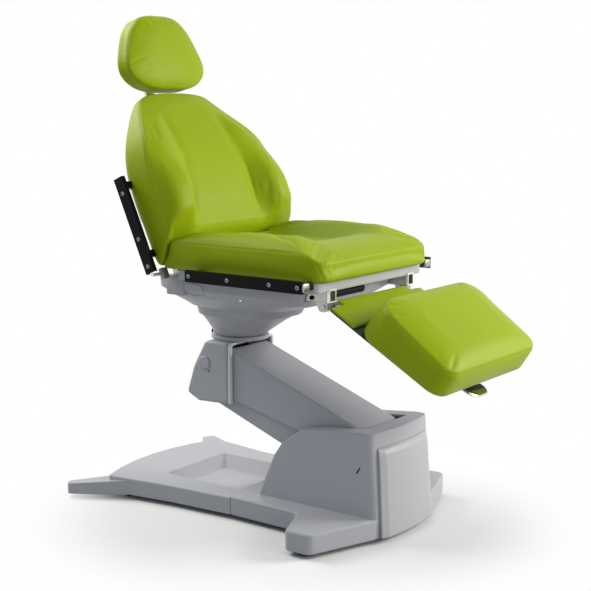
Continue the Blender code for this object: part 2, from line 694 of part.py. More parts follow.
def knuckle_pieces(parent, paint, rim_paint, steel, black):
    """Hood with a pale rim round its front opening, over a forked casting under the bearing disc."""
    hood = prism(round_corners(knuckle_profile(0.0, 0.0)), -KNUCKLE_HALF, KNUCKLE_HALF)
    shell = bevel(add("knuckle_shell", hood, parent, paint), 0.010, 3, 50.0)
    inner = KNUCKLE_HALF - KNUCKLE_WALL
    walls = knuckle_profile(KNUCKLE_WALL, 0.1)[1:-1]
    hollow = [(-0.2, KNUCKLE_TOP - KNUCKLE_WALL, 0.0)] + walls + [(-0.2, -0.3, 0.0)]
    combine(shell, prism(round_corners(hollow), -inner, inner))
    combine(shell, post(BOSS_RADIUS + GAP, 0.0, 0.2, 0.0, SWIVEL_OFFSET))
    cap_y, cap_z = 0.058, -0.014
    for side, word in ((1, "left"), (-1, "right")):
        rings = [[(side * x, y, z) for y, z in circle(r, 24, cap_y, cap_z)]
                 for x, r in ((KNUCKLE_HALF + GAP, CAP_RADIUS), (KNUCKLE_HALF + CAP_THICK / 2, CAP_RADIUS),
                              (KNUCKLE_HALF + CAP_THICK, CAP_RADIUS - 0.003))]
        add(f"knuckle_cap_{word}", loft(rings), parent, paint)
    front = knuckle_profile(0.0, 0.0)[0][0] - GAP
    rim_top = KNUCKLE_TOP - 0.0005
    rim_low = -KNUCKLE_DROP + 0.006
    arch = mirrored([(KNUCKLE_HALF, rim_low, 0.0), (KNUCKLE_HALF, rim_top, 0.012)])
    gate = ARM_HALF + 0.004
    rim = [[(x, y, z) for x, z in round_corners(arch)] for y in (front - RIM_THICK, front)]
    made = bevel(add("knuckle_rim", loft(rim), parent, rim_paint), 0.003, 2)
    hole = mirrored([(gate, -0.5, 0.0), (gate, rim_top - 0.006, 0.005)])
    combine(made, loft([[(x, y, z) for x, z in round_corners(hole)] for y in (front - 0.1, front + 0.1)]))
    return casting(parent, steel, black)


def casting(parent, steel, black):
    """Forked block that holds both upper pivots and lifts the bearing disc through the hood."""
    top = KNUCKLE_TOP - KNUCKLE_WALL - GAP
    back_y = LINK_OFFSET_Y + LUG_RADIUS + 0.006
    corners = [(-LUG_RADIUS, 0.018, 0.015), (0.004, 0.030, 0.0), (0.004, top, 0.0), (0.046, top, 0.004),
               (back_y, -0.020, 0.020), (back_y, LINK_OFFSET_Z - 0.010, 0.010),
               (LINK_OFFSET_Y, LINK_OFFSET_Z - LUG_RADIUS, 0.015),
               (LINK_OFFSET_Y - LUG_RADIUS, LINK_OFFSET_Z - 0.010, 0.010), (-LUG_RADIUS, -0.020, 0.015)]
    fork = add("knuckle_casting", prism(round_corners(corners), -LUG_OUTER, LUG_OUTER), parent, steel)
    combine(fork, post(BOSS_RADIUS, top - 0.0045, KNUCKLE_TOP, 0.0, SWIVEL_OFFSET), "UNION")
    slot_back = PIN_RADIUS + EYE_PLAY + 0.008 + EYE_PLAY
    combine(fork, block(-LUG_INNER, LUG_INNER, -0.2, slot_back, -0.2, top - 0.006))
    bored(fork, PIN_RADIUS, ((0.0, 0.0), (LINK_OFFSET_Y, LINK_OFFSET_Z)), 0.2)
    combine(fork, post(SPINDLE_RADIUS + PIN_GAP, top - 0.02, 0.2, 0.0, SWIVEL_OFFSET))
    low, high, chamfer = KNUCKLE_TOP + GAP, KNUCKLE_TOP + DISC_THICK, 0.002
    profile = ((DISC_RADIUS - chamfer, low), (DISC_RADIUS, low + chamfer),
               (DISC_RADIUS, high - chamfer), (DISC_RADIUS - chamfer, high))
    rings = [[(x, y, z) for x, y in circle(r, 32, 0.0, SWIVEL_OFFSET)] for r, z in profile]
    disc = add("swivel_disc", loft(rings), parent, black)
    combine(disc, post(SPINDLE_RADIUS + PIN_GAP, -0.1, 0.3, 0.0, SWIVEL_OFFSET))


def seat_structure(parent, steel, chrome, black):
    """Turntable and column, square side tubes with open front ends, and two cross members."""
    spindle_low = -DISC_THICK - KNUCKLE_WALL + 0.002
    column_top = SEAT_TUBE_TOP - CROSS_THICK - GAP
    profile = ((SPINDLE_RADIUS, spindle_low), (SPINDLE_RADIUS, 0.0),
               (TURNTABLE_RADIUS, 0.0), (TURNTABLE_RADIUS, TURNTABLE_THICK),
               (COLUMN_RADIUS, TURNTABLE_THICK), (COLUMN_RADIUS, column_top))
    add("seat_column", loft([[(x, y, z) for x, y in circle(r, 24)] for r, z in profile]), parent, steel)
    for side, word in ((1, "left"), (-1, "right")):
        seat_tube(parent, chrome, side * SEAT_TUBE_X, word)
    span = SEAT_TUBE_X - SEAT_TUBE_SIZE / 2 - GAP
    seat_cross_members(parent, steel, span)
    lock_y = SEAT_FRONT + LOCK_SETBACK
    lock_z = SEAT_TUBE_TOP - LOCK_RADIUS - 0.002
    add("legrest_lock", bar_with_round_end(-span, LOCK_END_X, lock_y, lock_z, LOCK_RADIUS), parent, black)


def seat_tube(parent, chrome, x, word):
    """Square tube, open at its front end, with a lug under it for the legrest's hinge."""
    outer, inner = SEAT_TUBE_SIZE / 2, SEAT_TUBE_SIZE / 2 - SEAT_TUBE_WALL
    body = block(x - outer, x + outer, SEAT_FRONT, BACK_HINGE_Y + HINGE_EYE, SEAT_TUBE_Z, SEAT_TUBE_TOP)
    tube = bevel(add(f"seat_tube_{word}", body, parent, chrome), 0.002, 1)
    root = SEAT_TUBE_Z + SEAT_TUBE_WALL
    low = LEG_HINGE_Z - HINGE_EYE
    lug = [(LEG_HINGE_Y - HINGE_EYE, root, 0.0), (LEG_HINGE_Y - HINGE_EYE, low, 0.010),
           (LEG_HINGE_Y + HINGE_EYE, low, 0.010), (LEG_HINGE_Y + 2 * HINGE_EYE, root, 0.0)]
    combine(tube, prism(round_corners(lug), x - outer + 0.001, x + outer - 0.001), "UNION")
    combine(tube, block(x - inner, x + inner, SEAT_FRONT - 0.1, SEAT_FRONT + SEAT_TUBE_OPEN,
                        SEAT_TUBE_Z + SEAT_TUBE_WALL, SEAT_TUBE_TOP - SEAT_TUBE_WALL))
    bored(tube, HINGE_RADIUS, ((LEG_HINGE_Y, LEG_HINGE_Z), (BACK_HINGE_Y, BACK_HINGE_Z)), 1.0)


def seat_cross_members(parent, steel, span):
    """Tee over the column, and a front bar with the clevis that carries the back's actuator."""
    tee_rear = TEE_FRONT + TEE_BAR
    tee = [(span, TEE_FRONT, 0.0), (span, tee_rear, 0.0), (TEE_HALF, tee_rear, 0.008),
           (TEE_HALF, BACK_HINGE_Y - HINGE_EYE, 0.008)]
    tee_outline = round_corners(mirrored(tee))
    add("seat_cross_rear", slab(tee_outline, SEAT_TUBE_TOP - CROSS_THICK, SEAT_TUBE_TOP), parent, steel)
    front = SEAT_FRONT + ACTUATOR_MOUNT
    bar = block(-span, span, front - 0.055, front - 0.025, SEAT_TUBE_Z, SEAT_TUBE_TOP)
    cross = add("seat_cross_front", bar, parent, steel)
    low, high = ACTUATOR_Z - 0.010, SEAT_TUBE_TOP - 0.002
    clevis = [(front - 0.040, high, 0.0), (front - 0.040, SEAT_TUBE_Z + 0.004, 0.0), (front, low, 0.008),
              (front + 0.012, low, 0.008), (front + 0.012, high, 0.0)]
    for x in (LEVER_X - EYE_HALF - SIDE_GAP - CLEVIS_PLATE, LEVER_X + EYE_HALF + SIDE_GAP):
        combine(cross, prism(round_corners(clevis), x, x + CLEVIS_PLATE), "UNION")
    reach = EYE_HALF + SIDE_GAP + CLEVIS_PLATE / 2
    combine(cross, pin(CLEVIS_PIN, LEVER_X - reach, LEVER_X + reach, front, ACTUATOR_Z), "UNION")


def bar_with_round_end(x0, x1, y, z, radius, count=20):
    """A round bar along X whose far end is domed."""
    dome = [(x1 - radius * (1 - math.sin(t)), radius * math.cos(t)) for t in (0.0, 0.5, 1.0, 1.4)]
    return loft([[(x, a, b) for a, b in circle(r, count, y, z)] for x, r in [(x0, radius)] + dome])


def seat_cover(parent, paint):
    """Boat-shaped moulding under the seat that runs down in a stepped bowl to the bearing disc.

    Each station gives shares of the way from the bowl's foot to the rim: height, half width, front and
    rear reach; then how square the ring is.
    """
    stations = ((0.0, 0.0, 0.0, 0.0, 2.0), (0.10, 0.07, 0.08, 0.14, 2.0), (0.235, 0.19, 0.19, 0.32, 2.2),
                (0.335, 0.29, 0.28, 0.46, 2.4), (0.355, 0.34, 0.33, 0.58, 2.5), (0.48, 0.37, 0.37, 0.63, 2.6),
                (0.515, 0.51, 0.48, 0.72, 2.8), (0.615, 0.71, 0.70, 0.82, 3.4), (0.72, 0.87, 0.90, 0.91, 5.0),
                (0.845, 0.98, 0.98, 0.98, 8.0), (1.0, 1.0, 1.0, 1.0, 8.0))
    outer, inner = [], []
    for up, wide, ahead, behind, power in stations:
        half, front, rear = (COVER_FOOT + share * (rim - COVER_FOOT)
                             for share, rim in ((wide, COVER_HALF), (ahead, COVER_FRONT), (behind, COVER_REAR)))
        z = GAP + up * COVER_RIM_Z
        outer.append(oval_ring(half, -front, rear, power, z))
        inner.append(oval_ring(half, -front, rear, power, z, COVER_WALL))
    cover = add("under_seat_cover", skin(outer, inner), parent, paint, 25.0)
    notch = SEAT_TUBE_SIZE / 2 + 0.002
    for side in (1, -1):
        x = side * SEAT_TUBE_X
        combine(cover, block(x - notch, x + notch, SEAT_FRONT - 0.05, SEAT_FRONT + 0.16,
                             SEAT_TUBE_Z - 0.002, 0.3))
    gate = BACK_ARM_IN + BACK_ARM_THICK + 0.004
    combine(cover, block(-gate, gate, BACK_HINGE_Y + 0.02, 0.3, SEAT_TUBE_Z - 0.016, 0.3))


def rail_mesh(length, height):
    """A rail of channel section, open inward, along +Y from the origin, its outer face at x = 0."""
    web, flange, lip = RAIL_WEB, RAIL_FLANGE, RAIL_LIP
    section = [(0.0, 0.0), (0.0, height), (-flange, height), (-flange, height - lip), (-web, height - lip),
               (-web, lip), (-flange, lip), (-flange, 0.0)]
    return loft([[(x, y, z) for x, z in section] for y in (0.0, length)])


def seat_rails(parent, black):
    """Accessory rails along the seat, each held off the tray by two square spacers."""
    low, high = SEAT_RAIL_Z - SPACER_SIZE / 2, min(SEAT_RAIL_Z + SPACER_SIZE / 2, TRAY_TOP - 0.001)
    for side, word in ((1, "left"), (-1, "right")):
        bm = rail_mesh(SEAT_RAIL_LENGTH, RAIL_HEIGHT)
        for vert in bm.verts:
            x, y, z = vert.co
            vert.co = Vector((side * (x + RAIL_X), y + SEAT_FRONT, z + SEAT_RAIL_Z - RAIL_HEIGHT / 2))
        rail = add(f"seat_rail_{word}", bm, parent, black)
        a, b = sorted((side * (TRAY_HALF + GAP), side * (RAIL_X - RAIL_WEB / 2)))
        for y in (SEAT_FRONT + 0.004, SEAT_FRONT + SEAT_RAIL_LENGTH - SPACER_SIZE - 0.004):
            combine(rail, block(a, b, y, y + SPACER_SIZE, low, high), "UNION")


def spread(outline, most):
    """The outline with its long straight sides cut into shorter steps."""
    points = []
    for i, here in enumerate(outline):
        there = outline[(i + 1) % len(outline)]
        steps = max(1, math.ceil(math.dist(here, there) / most))
        for k in range(steps):
            points.append(tuple(a + (b - a) * k / steps for a, b in zip(here, there)))
    return points


def seat_soft(parent, tray_paint, leather):
    """Moulded tray under a pad with two side bolsters, a rolled front and a rear that leans forward."""
    corners = mirrored([(TRAY_HALF, SEAT_FRONT - 0.006, 0.020), (TRAY_HALF, TRAY_REAR, 0.020)])
    bevel(add("seat_tray", slab(round_corners(corners), TRAY_BOTTOM, TRAY_TOP), parent, tray_paint), 0.004, 2)
    middle = (SEAT_PAD_FRONT + SEAT_PAD_REAR) / 2
    half = [(SEAT_PAD_HALF - 0.006, SEAT_PAD_FRONT, SEAT_PAD_CORNER), (SEAT_PAD_HALF, middle, 0.0),
            (SEAT_PAD_HALF - 0.006, SEAT_PAD_REAR, SEAT_REAR_CORNER),
            (SEAT_REAR_NOTCH + 0.03, SEAT_PAD_REAR, 0.0), (SEAT_REAR_NOTCH, SEAT_PAD_REAR - 0.010, 0.0)]
    outline = spread(round_corners(mirrored(half), 5), 0.06)
    length = SEAT_PAD_REAR - SEAT_PAD_FRONT

    def edge(x, y):
        return SEAT_PAD_EDGE

    def crown(x, y):
        back = (y - SEAT_PAD_FRONT) / length
        bolster = ease(abs(x), 0.40 * SEAT_PAD_HALF, 0.72 * SEAT_PAD_HALF)
        roll = SEAT_ROLL * (1 - bolster) * (1 - ease(back, 0.25, 0.52))
        fall = SEAT_FALL * (1 - ease(back, 0.0, 0.19))
        return SEAT_PAD_THICK + SEAT_BOLSTER * bolster * (0.45 + 0.55 * ease(back, 0.08, 0.28)) + roll - fall

    def place(x, y, height):
        lean = SEAT_REAR_LEAN * ease(y, middle, SEAT_PAD_REAR)
        return (x, y - lean * height, TRAY_TOP + GAP + height)

    add("seat_pad", cushion(outline, (0.0, middle), edge, crown, place), parent, leather, 60.0)


def back_outline(share):
    """The backrest's outline, drawn in by a share towards its middle."""
    middle = BACK_PAD_LOW + 0.45 * (BACK_PAD_TOP - BACK_PAD_LOW)
    points = []
    for across, up in BACK_SHAPE:
        z = BACK_PAD_LOW + up * (BACK_PAD_TOP - BACK_PAD_LOW)
        points.append((share * BACK_PAD_HALF * across, middle + share * (z - middle)))
    return smooth_loop(points), (0.0, middle)


def back_structure(parent, steel, chrome, black, shell_paint, plastic):
    """Side arms and cross bars between a board and a moulded rear shell drawn in below, with the rails."""
    half, eye, low = BACK_FRAME_HALF, HINGE_EYE + 0.001, BACK_PAD_LOW
    for side, word in ((1, "left"), (-1, "right")):
        a, b = sorted((side * BACK_ARM_IN, side * (BACK_ARM_IN + BACK_ARM_THICK)))
        corners = [(-eye, -eye, 0.013), (eye, -eye, 0.013), (eye, 0.020, 0.0), (half, 0.040, 0.0),
                   (half, BACK_ARM_LENGTH, 0.006), (-half, BACK_ARM_LENGTH, 0.006), (-half, 0.040, 0.0),
                   (-eye, 0.020, 0.0)]
        arm = add(f"back_arm_{word}", prism(round_corners(corners), a, b), parent, chrome)
        bored(arm, HINGE_RADIUS, ((0.0, 0.0),), 1.0)
        rail = add(f"back_rail_{word}", back_rail(side), parent, black)
        c, d = sorted((side * (BACK_ARM_IN + BACK_ARM_THICK + GAP), side * (RAIL_X - RAIL_WEB / 2)))
        for z in BACK_SPACERS:
            combine(rail, block(c, d, -half + 0.001, half - 0.001, z, z + SPACER_SIZE), "UNION")
    span = BACK_ARM_IN - GAP
    bar = block(-span, span, -half, half, BACK_CROSS_Z, BACK_CROSS_Z + CROSS_BAR)
    cross = add("back_cross_low", bar, parent, steel)
    back_levers(cross)
    high = BACK_ARM_LENGTH - 0.010
    add("back_cross_high", block(-span, span, -half, half, high - CROSS_BAR, high), parent, steel)
    loop, middle = back_outline(1.0 - BACK_LIP - 0.004)
    board = loft([[(x, y, z) for x, z in loop] for y in (-BOARD_FRONT, -half - GAP)])
    add("back_board", board, parent, plastic)
    rings = []
    for share, depth in ((0.95, 0.0), (0.945, 0.35), (0.90, 0.72), (0.81, 0.95), (0.66, 1.0)):
        loop, middle = back_outline(share)
        y = half + GAP + depth * BACK_SHELL_DEPTH
        rings.append([(x * (0.76 + 0.24 * ease(z, low - 0.01, low + 0.13)), y, z) for x, z in loop])
    add("back_shell", loft(rings), parent, shell_paint)


def back_rail(side):
    """A back rail: the channel section of the seat rail, stood along the back's arm."""
    bm = rail_mesh(BACK_RAIL_LENGTH, RAIL_HEIGHT)
    for vert in bm.verts:
        x, y, z = vert.co
        vert.co = Vector((side * (x + RAIL_X), z - RAIL_HEIGHT / 2, y + BACK_RAIL_LOW))
    return bm


def back_levers(cross):
    """Twin lever plates, notched round the hinge pin, that the actuator pushes below the hinge."""
    half, root = BACK_FRAME_HALF, BACK_CROSS_Z + 0.002
    neck, low = BACK_PAD_LOW + 0.006, -LEVER_LENGTH - HINGE_EYE
    front = [(LEVER_HALF, -0.020, 0.0), (LEVER_HALF, neck - 0.020, 0.0), (half, neck, 0.0), (half, root, 0.0)]
    rear = [(-y, z, r) for y, z, r in reversed(front)]
    lever = rear + [(-HINGE_EYE, low, 0.011), (HINGE_EYE, low, 0.011)] + front
    inner = EYE_HALF + 0.002
    for x in (LEVER_X - inner - LEVER_PLATE, LEVER_X + inner):
        combine(cross, prism(round_corners(lever), x, x + LEVER_PLATE), "UNION")
    reach = inner + LEVER_PLATE / 2
    combine(cross, pin(HINGE_RADIUS, LEVER_X - reach, LEVER_X + reach, 0.0, -LEVER_LENGTH), "UNION")
    combine(cross, pin(HINGE_RADIUS + 0.002, -1.0, 1.0))


def back_pad(parent, leather):
    """Shell-shaped pad with side bolsters round a hollowed middle, its lip wrapped round the board."""
    loop, middle = back_outline(1.0)
    rear = BACK_FRAME_HALF
    height = BACK_PAD_TOP - BACK_PAD_LOW

    def edge(x, z):
        up = (z - BACK_PAD_LOW) / height
        thin = BACK_PAD_EDGE - BACK_EDGE_TOP
        return rear + BACK_PAD_EDGE - thin * ease(up, 0.62, 0.98) - 0.073 * (1 - ease(up, 0.0, 0.17))

    def crown(x, z):
        up = (z - BACK_PAD_LOW) / height
        across = ease(abs(x), 0.44 * BACK_PAD_HALF, 0.75 * BACK_PAD_HALF)
        fade = (1 - 0.82 * ease(up, 0.34, 0.62)) * (1 - ease(up, 0.62, 0.92))
        face = BACK_PAD_THICK - 0.044 * ease(up, 0.50, 1.0) - 0.063 * (1 - ease(up, 0.0, 0.165))
        return rear + face + BACK_BOLSTER * across * fade * ease(up, 0.10, 0.26)

    body = cushion(loop, middle, edge, crown, lambda a, b, h: (a, rear - h, b), full=18)
    pad = add("back_pad", body, parent, leather, 60.0)
    front = -BOARD_FRONT - GAP
    inside = back_outline(1.0 - BACK_LIP)[0]
    combine(pad, loft([[(x, y, z) for x, z in inside] for y in (front, rear + 0.02)]))
    gate = BACK_ARM_IN + BACK_ARM_THICK + SIDE_GAP
    combine(pad, block(-gate, gate, front, rear + 0.02, BACK_PAD_LOW - 0.05, BACK_CROSS_Z + CROSS_BAR))
    for z in BACK_SPACERS:
        combine(pad, block(-1.0, 1.0, -rear, rear + 0.02, z - SIDE_GAP, z + SPACER_SIZE + SIDE_GAP))


def head_guide(parent, knob_pivot, black):
    """Guide for the headrest's bar on the rear shell, and its clamp knob."""
    near, far = HEAD_BAR_FRONT - GAP, HEAD_BAR_FRONT + HEAD_BAR_THICK + GAP
    wide = HEAD_BAR_HALF + 0.016
    body = block(-wide, wide, SHELL_BACK + GAP, GUIDE_BACK, GUIDE_LOW, GUIDE_LOW + GUIDE_HEIGHT)
    guide = bevel(add("head_guide", body, parent, black), 0.004, 2)
    combine(guide, block(-HEAD_BAR_HALF - GAP, HEAD_BAR_HALF + GAP, near, far, 0.0, 1.0))
    count = 24
    rings = []
    profile = ((0.0, 0.57, 0.0), (0.006, 0.57, 0.0), (0.007, 1.0, 0.06), (0.020, 1.0, 0.06), (0.024, 0.76, 0.0))
    for depth, share, wave in profile:
        y = GUIDE_BACK + GAP - HEAD_AXIS_BACK + depth
        ring = []
        for k in range(count):
            turn = 2 * math.pi * k / count
            radius = KNOB_RADIUS * share * (1 + wave * math.cos(6 * turn))
            ring.append((radius * math.cos(turn), y, radius * math.sin(turn)))
        rings.append(ring)
    add("head_knob", loft(rings), knob_pivot, black)


def head_bar(parent, chrome):
    """Flat chrome bar with an eye at its top for the tilt pin."""
    near = HEAD_BAR_FRONT - HEAD_AXIS_BACK
    body = block(-HEAD_BAR_HALF, HEAD_BAR_HALF, near, near + HEAD_BAR_THICK, -HEAD_BAR_LENGTH, 0.004)
    bar = add("head_bar", body, parent, chrome)
    combine(bar, pin(HEAD_PIN + 0.006, -HEAD_BAR_HALF, HEAD_BAR_HALF), "UNION")
    bored(bar, HEAD_PIN, ((0.0, 0.0),), 1.0)


def headrest(parent, plastic, leather):
    """Tilting plate with two ears and its pin, under a rounded pad."""
    points = [(HEAD_PAD_HALF * x, (HEAD_PAD_UP if z > 0.0 else HEAD_PAD_DOWN) * z) for x, z in HEAD_SHAPE]
    loop = smooth_loop(points)
    middle = (0.0, (HEAD_PAD_UP - HEAD_PAD_DOWN) / 2)
    small = [(0.55 * x, middle[1] + 0.55 * (z - middle[1])) for x, z in loop]
    front = -HEAD_PLATE_AHEAD - HEAD_PLATE_THICK
    body = loft([[(x, y, z) for x, z in small] for y in (front, -HEAD_PLATE_AHEAD)])
    plate = add("head_plate", body, parent, plastic)
    root = -HEAD_PLATE_AHEAD - HEAD_PLATE_THICK / 2
    ear = [(root, -0.022, 0.0), (0.009, -0.009, 0.008), (0.009, 0.009, 0.008), (root, 0.022, 0.0)]
    for x in (-HEAD_BAR_HALF - SIDE_GAP - CLEVIS_PLATE, HEAD_BAR_HALF + SIDE_GAP):
        combine(plate, prism(round_corners(ear), x, x + CLEVIS_PLATE), "UNION")
    reach = HEAD_BAR_HALF + SIDE_GAP + CLEVIS_PLATE / 2
    combine(plate, pin(HEAD_PIN - GAP, -reach, reach), "UNION")

    def edge(x, z):
        return HEAD_PAD_EDGE

    def crown(x, z):
        return HEAD_PAD_THICK * (1 - 0.10 * (x / HEAD_PAD_HALF) ** 2)

    pad = cushion(loop, middle, edge, crown, lambda a, b, h: (a, front - GAP - h, b), 0.97)
    add("head_pad", pad, parent, leather, 60.0)


def leg_frame(parent, chrome, plastic):
    """Two flat arms under a plate that carries the pads and the paddle's bracket."""
    half = LEG_ARM_HALF
    for side, word in ((1, "left"), (-1, "right")):
        a, b = sorted((side * (LEG_ARM_OUT - LEG_ARM_THICK), side * LEG_ARM_OUT))
        end = -LEG_LENGTH + 0.06
        corners = [(HINGE_EYE, -half - 0.003, 0.010), (HINGE_EYE, half, 0.007), (end, half, 0.0),
                   (end, -half, 0.006), (-0.030, -half, 0.0)]
        arm = add(f"leg_arm_{word}", prism(round_corners(corners), a, b), parent, chrome)
        bored(arm, HINGE_RADIUS, ((0.0, 0.0),), 1.0)
    outline = mirrored([(LEG_THIN_HALF - 0.014, -LEG_PAD_REAR, 0.006),
                        (LEG_PAD_HALF - 0.028, -LEG_PAD_START, 0.0),
                        (LEG_PAD_HALF - 0.030, -LEG_LENGTH + 0.03, 0.04)])
    plate = add("leg_plate", slab(round_corners(outline), half + GAP, LEG_PLATE_TOP), parent, plastic)
    root, low = half + 0.003, -PADDLE_DROP - 0.007
    bracket = [(-PADDLE_REACH - 0.012, root, 0.0), (-PADDLE_REACH - 0.007, low, 0.006),
               (-PADDLE_REACH + 0.007, low, 0.006), (-PADDLE_REACH + 0.012, root, 0.0)]
    for side in (1, -1):
        a, b = sorted((side * (PADDLE_HALF + SIDE_GAP), side * (PADDLE_HALF + SIDE_GAP + CLEVIS_PLATE)))
        combine(plate, prism(round_corners(bracket), a, b), "UNION")
        c, d = sorted((side * (PADDLE_HALF - 0.012), side * (PADDLE_HALF + 0.004)))
        combine(plate, pin(PADDLE_PIN, c, d, -PADDLE_REACH, -PADDLE_DROP), "UNION")


def leg_pads(parent, leather):
    """Thin apron pad over the hinge and a boxy calf pad, thickest at its upper end."""
    base = LEG_PLATE_TOP + GAP
    inner = LEG_ARM_OUT - LEG_ARM_THICK - GAP
    thin = mirrored([(inner, -LEG_APRON_REAR, 0.006), (inner, -LEG_PAD_REAR, 0.004),
                     (LEG_THIN_HALF, -LEG_PAD_REAR, 0.008), (LEG_THIN_HALF, -LEG_PAD_START + GAP, 0.004)])
    apron = cushion(spread(round_corners(thin, 2), 0.12), (0.0, -(LEG_PAD_REAR + LEG_PAD_START) / 2),
                    lambda x, y: 0.6 * LEG_THIN_THICK, lambda x, y: LEG_THIN_THICK,
                    lambda x, y, h: (x, y, base + h), 0.995)
    add("leg_thin_pad", apron, parent, leather, 60.0)
    thick = mirrored([(LEG_PAD_HALF, -LEG_PAD_START, LEG_PAD_CORNER),
                      (LEG_PAD_HALF, -LEG_LENGTH, LEG_PAD_CORNER)])

    def edge(x, y):
        return LEG_PAD_EDGE + LEG_PAD_WEDGE * (y + LEG_LENGTH) / (LEG_LENGTH - LEG_PAD_START)

    def crown(x, y):
        return edge(x, y) + LEG_PAD_CROWN * math.cos(math.pi * x / (2 * LEG_PAD_HALF))

    centre = (0.0, -(LEG_PAD_START + LEG_LENGTH) / 2)

    def place(x, y, height):
        lean = LEG_REAR_LEAN * ease(y, centre[1], -LEG_PAD_START)
        return (x, y - lean * height, base + height)

    pad = cushion(spread(round_corners(thick, 5), 0.06), centre, edge, crown, place)
    add("leg_pad", pad, parent, leather, 60.0)


def leg_paddle(parent, chrome):
    """Release paddle that turns on two stub pins under the plate."""
    wide = PADDLE_HALF - SIDE_GAP
    rings = []
    for z, grow in ((-0.004, 0.96), (0.0, 1.0), (0.004, 0.96)):
        half = [(wide * grow, -0.002, 0.0), (wide * grow, -PADDLE_LENGTH * grow, 0.030)]
        rings.append([(x, y, z) for x, y in round_corners(mirrored(half), 6)])
    paddle = add("leg_paddle", loft(rings), parent, chrome)
    combine(paddle, pin(PADDLE_PIN + 0.0035, -PADDLE_HALF, PADDLE_HALF), "UNION")
    combine(paddle, pin(PADDLE_PIN + PIN_GAP, -1.0, 1.0))


def back_actuator(tube_pivot, rod_pivot, plastic, chrome, reach):
    """Push actuator under the seat that turns the back through the lever below its hinge."""
    radius = BACK_TUBE_RADIUS
    barrel = along(radius, (radius - 0.0005, 0.0), (BACK_TUBE_LENGTH, 0.0), 18)
    body = add("back_tube", barrel, tube_pivot, plastic)
    combine(body, pin(radius + 0.003, -EYE_HALF, EYE_HALF, count=22), "UNION")
    combine(body, pin(CLEVIS_PIN + PIN_GAP, -1.0, 1.0))
    combine(body, along(BACK_ROD_RADIUS + PIN_GAP, (2.5 * radius, 0.0), (BACK_TUBE_LENGTH + 0.1, 0.0)))
    eye = HINGE_RADIUS + EYE_PLAY
    rod = along(BACK_ROD_RADIUS, (BACK_TUBE_LENGTH - 0.080, 0.0), (reach - eye - 0.001, 0.0))
    rod = add("back_rod", rod, rod_pivot, chrome)
    combine(rod, pin(eye + 0.005, 0.004 - EYE_HALF, EYE_HALF - 0.004, reach, 0.0, 24), "UNION")
    combine(rod, pin(eye, -1.0, 1.0, reach, 0.0, 24))


def lift_side(base, paint, pale, steel, chrome, black, plastic):
    """The parallelogram: tower, arm, levelling link, actuator and knuckle."""
    tower = pivot("arm_lower_axis", ARM_PIVOT_Y, ARM_PIVOT_Z)
    lift_tower(tower, steel, floor_frame(base, steel))
    arm_pieces(pivot("lift_axis", ARM_PIVOT_Y, ARM_PIVOT_Z, ARM_ANGLE), paint, steel)
    link_y, link_z = ARM_PIVOT_Y + LINK_OFFSET_Y, ARM_PIVOT_Z + LINK_OFFSET_Z
    lower_link(pivot("link_axis", link_y, link_z, ARM_ANGLE), paint)
    knuckle = pivot("knuckle_axis", ARM_TOP_PIVOT_Y, ARM_TOP_PIVOT_Z)
    pivot_pins(tower, knuckle, chrome)
    span_y, span_z = ARM_TOP_PIVOT_Y - link_y, ARM_TOP_PIVOT_Z - link_z
    slope = math.atan2(span_z, span_y)
    tube, rod = (pivot(f"lift_{word}_axis", link_y, link_z, slope) for word in ("tube", "rod"))
    lift_actuator(tube, rod, plastic, chrome, math.hypot(span_y, span_z))
    knuckle_pieces(knuckle, paint, pale, steel, black)


def back_side(seat, pale, steel, chrome, black, plastic, leather):
    """The back on its hinge, the actuator that turns it, and the headrest."""
    reach = BACK_ARM_IN + BACK_ARM_THICK + 0.002
    add("back_hinge_pin", pin(HINGE_RADIUS, -reach, reach, BACK_HINGE_Y, BACK_HINGE_Z), seat, chrome)
    sine, cosine = math.sin(BACK_ANGLE), math.cos(BACK_ANGLE)
    hinge_y, hinge_z = SEAT_Y + BACK_HINGE_Y, SEAT_Z + BACK_HINGE_Z
    back = pivot("back_axis", hinge_y, hinge_z, -BACK_ANGLE)
    back_structure(back, steel, chrome, black, pale, plastic)
    back_pad(back, leather)
    mount_y, mount_z = SEAT_Y + SEAT_FRONT + ACTUATOR_MOUNT, SEAT_Z + ACTUATOR_Z
    span_y, span_z = hinge_y - LEVER_LENGTH * sine - mount_y, hinge_z - LEVER_LENGTH * cosine - mount_z
    slope = math.atan2(span_z, span_y)
    tube, rod = (pivot(f"back_{word}_axis", mount_y, mount_z, slope, LEVER_X) for word in ("tube", "rod"))
    back_actuator(tube, rod, plastic, chrome, math.hypot(span_y, span_z))
    head_y = hinge_y + HEAD_AXIS_UP * sine + HEAD_AXIS_BACK * cosine
    head_z = hinge_z + HEAD_AXIS_UP * cosine - HEAD_AXIS_BACK * sine
    down = HEAD_AXIS_UP - GUIDE_LOW - GUIDE_HEIGHT / 2
    head_guide(back, pivot("head_knob_axis", head_y - down * sine, head_z - down * cosine, -BACK_ANGLE), black)
    head_bar(pivot("head_slide_axis", head_y, head_z, -BACK_ANGLE), chrome)
    headrest(pivot("head_tilt_axis", head_y, head_z, HEAD_LEAN - BACK_ANGLE), plastic, leather)


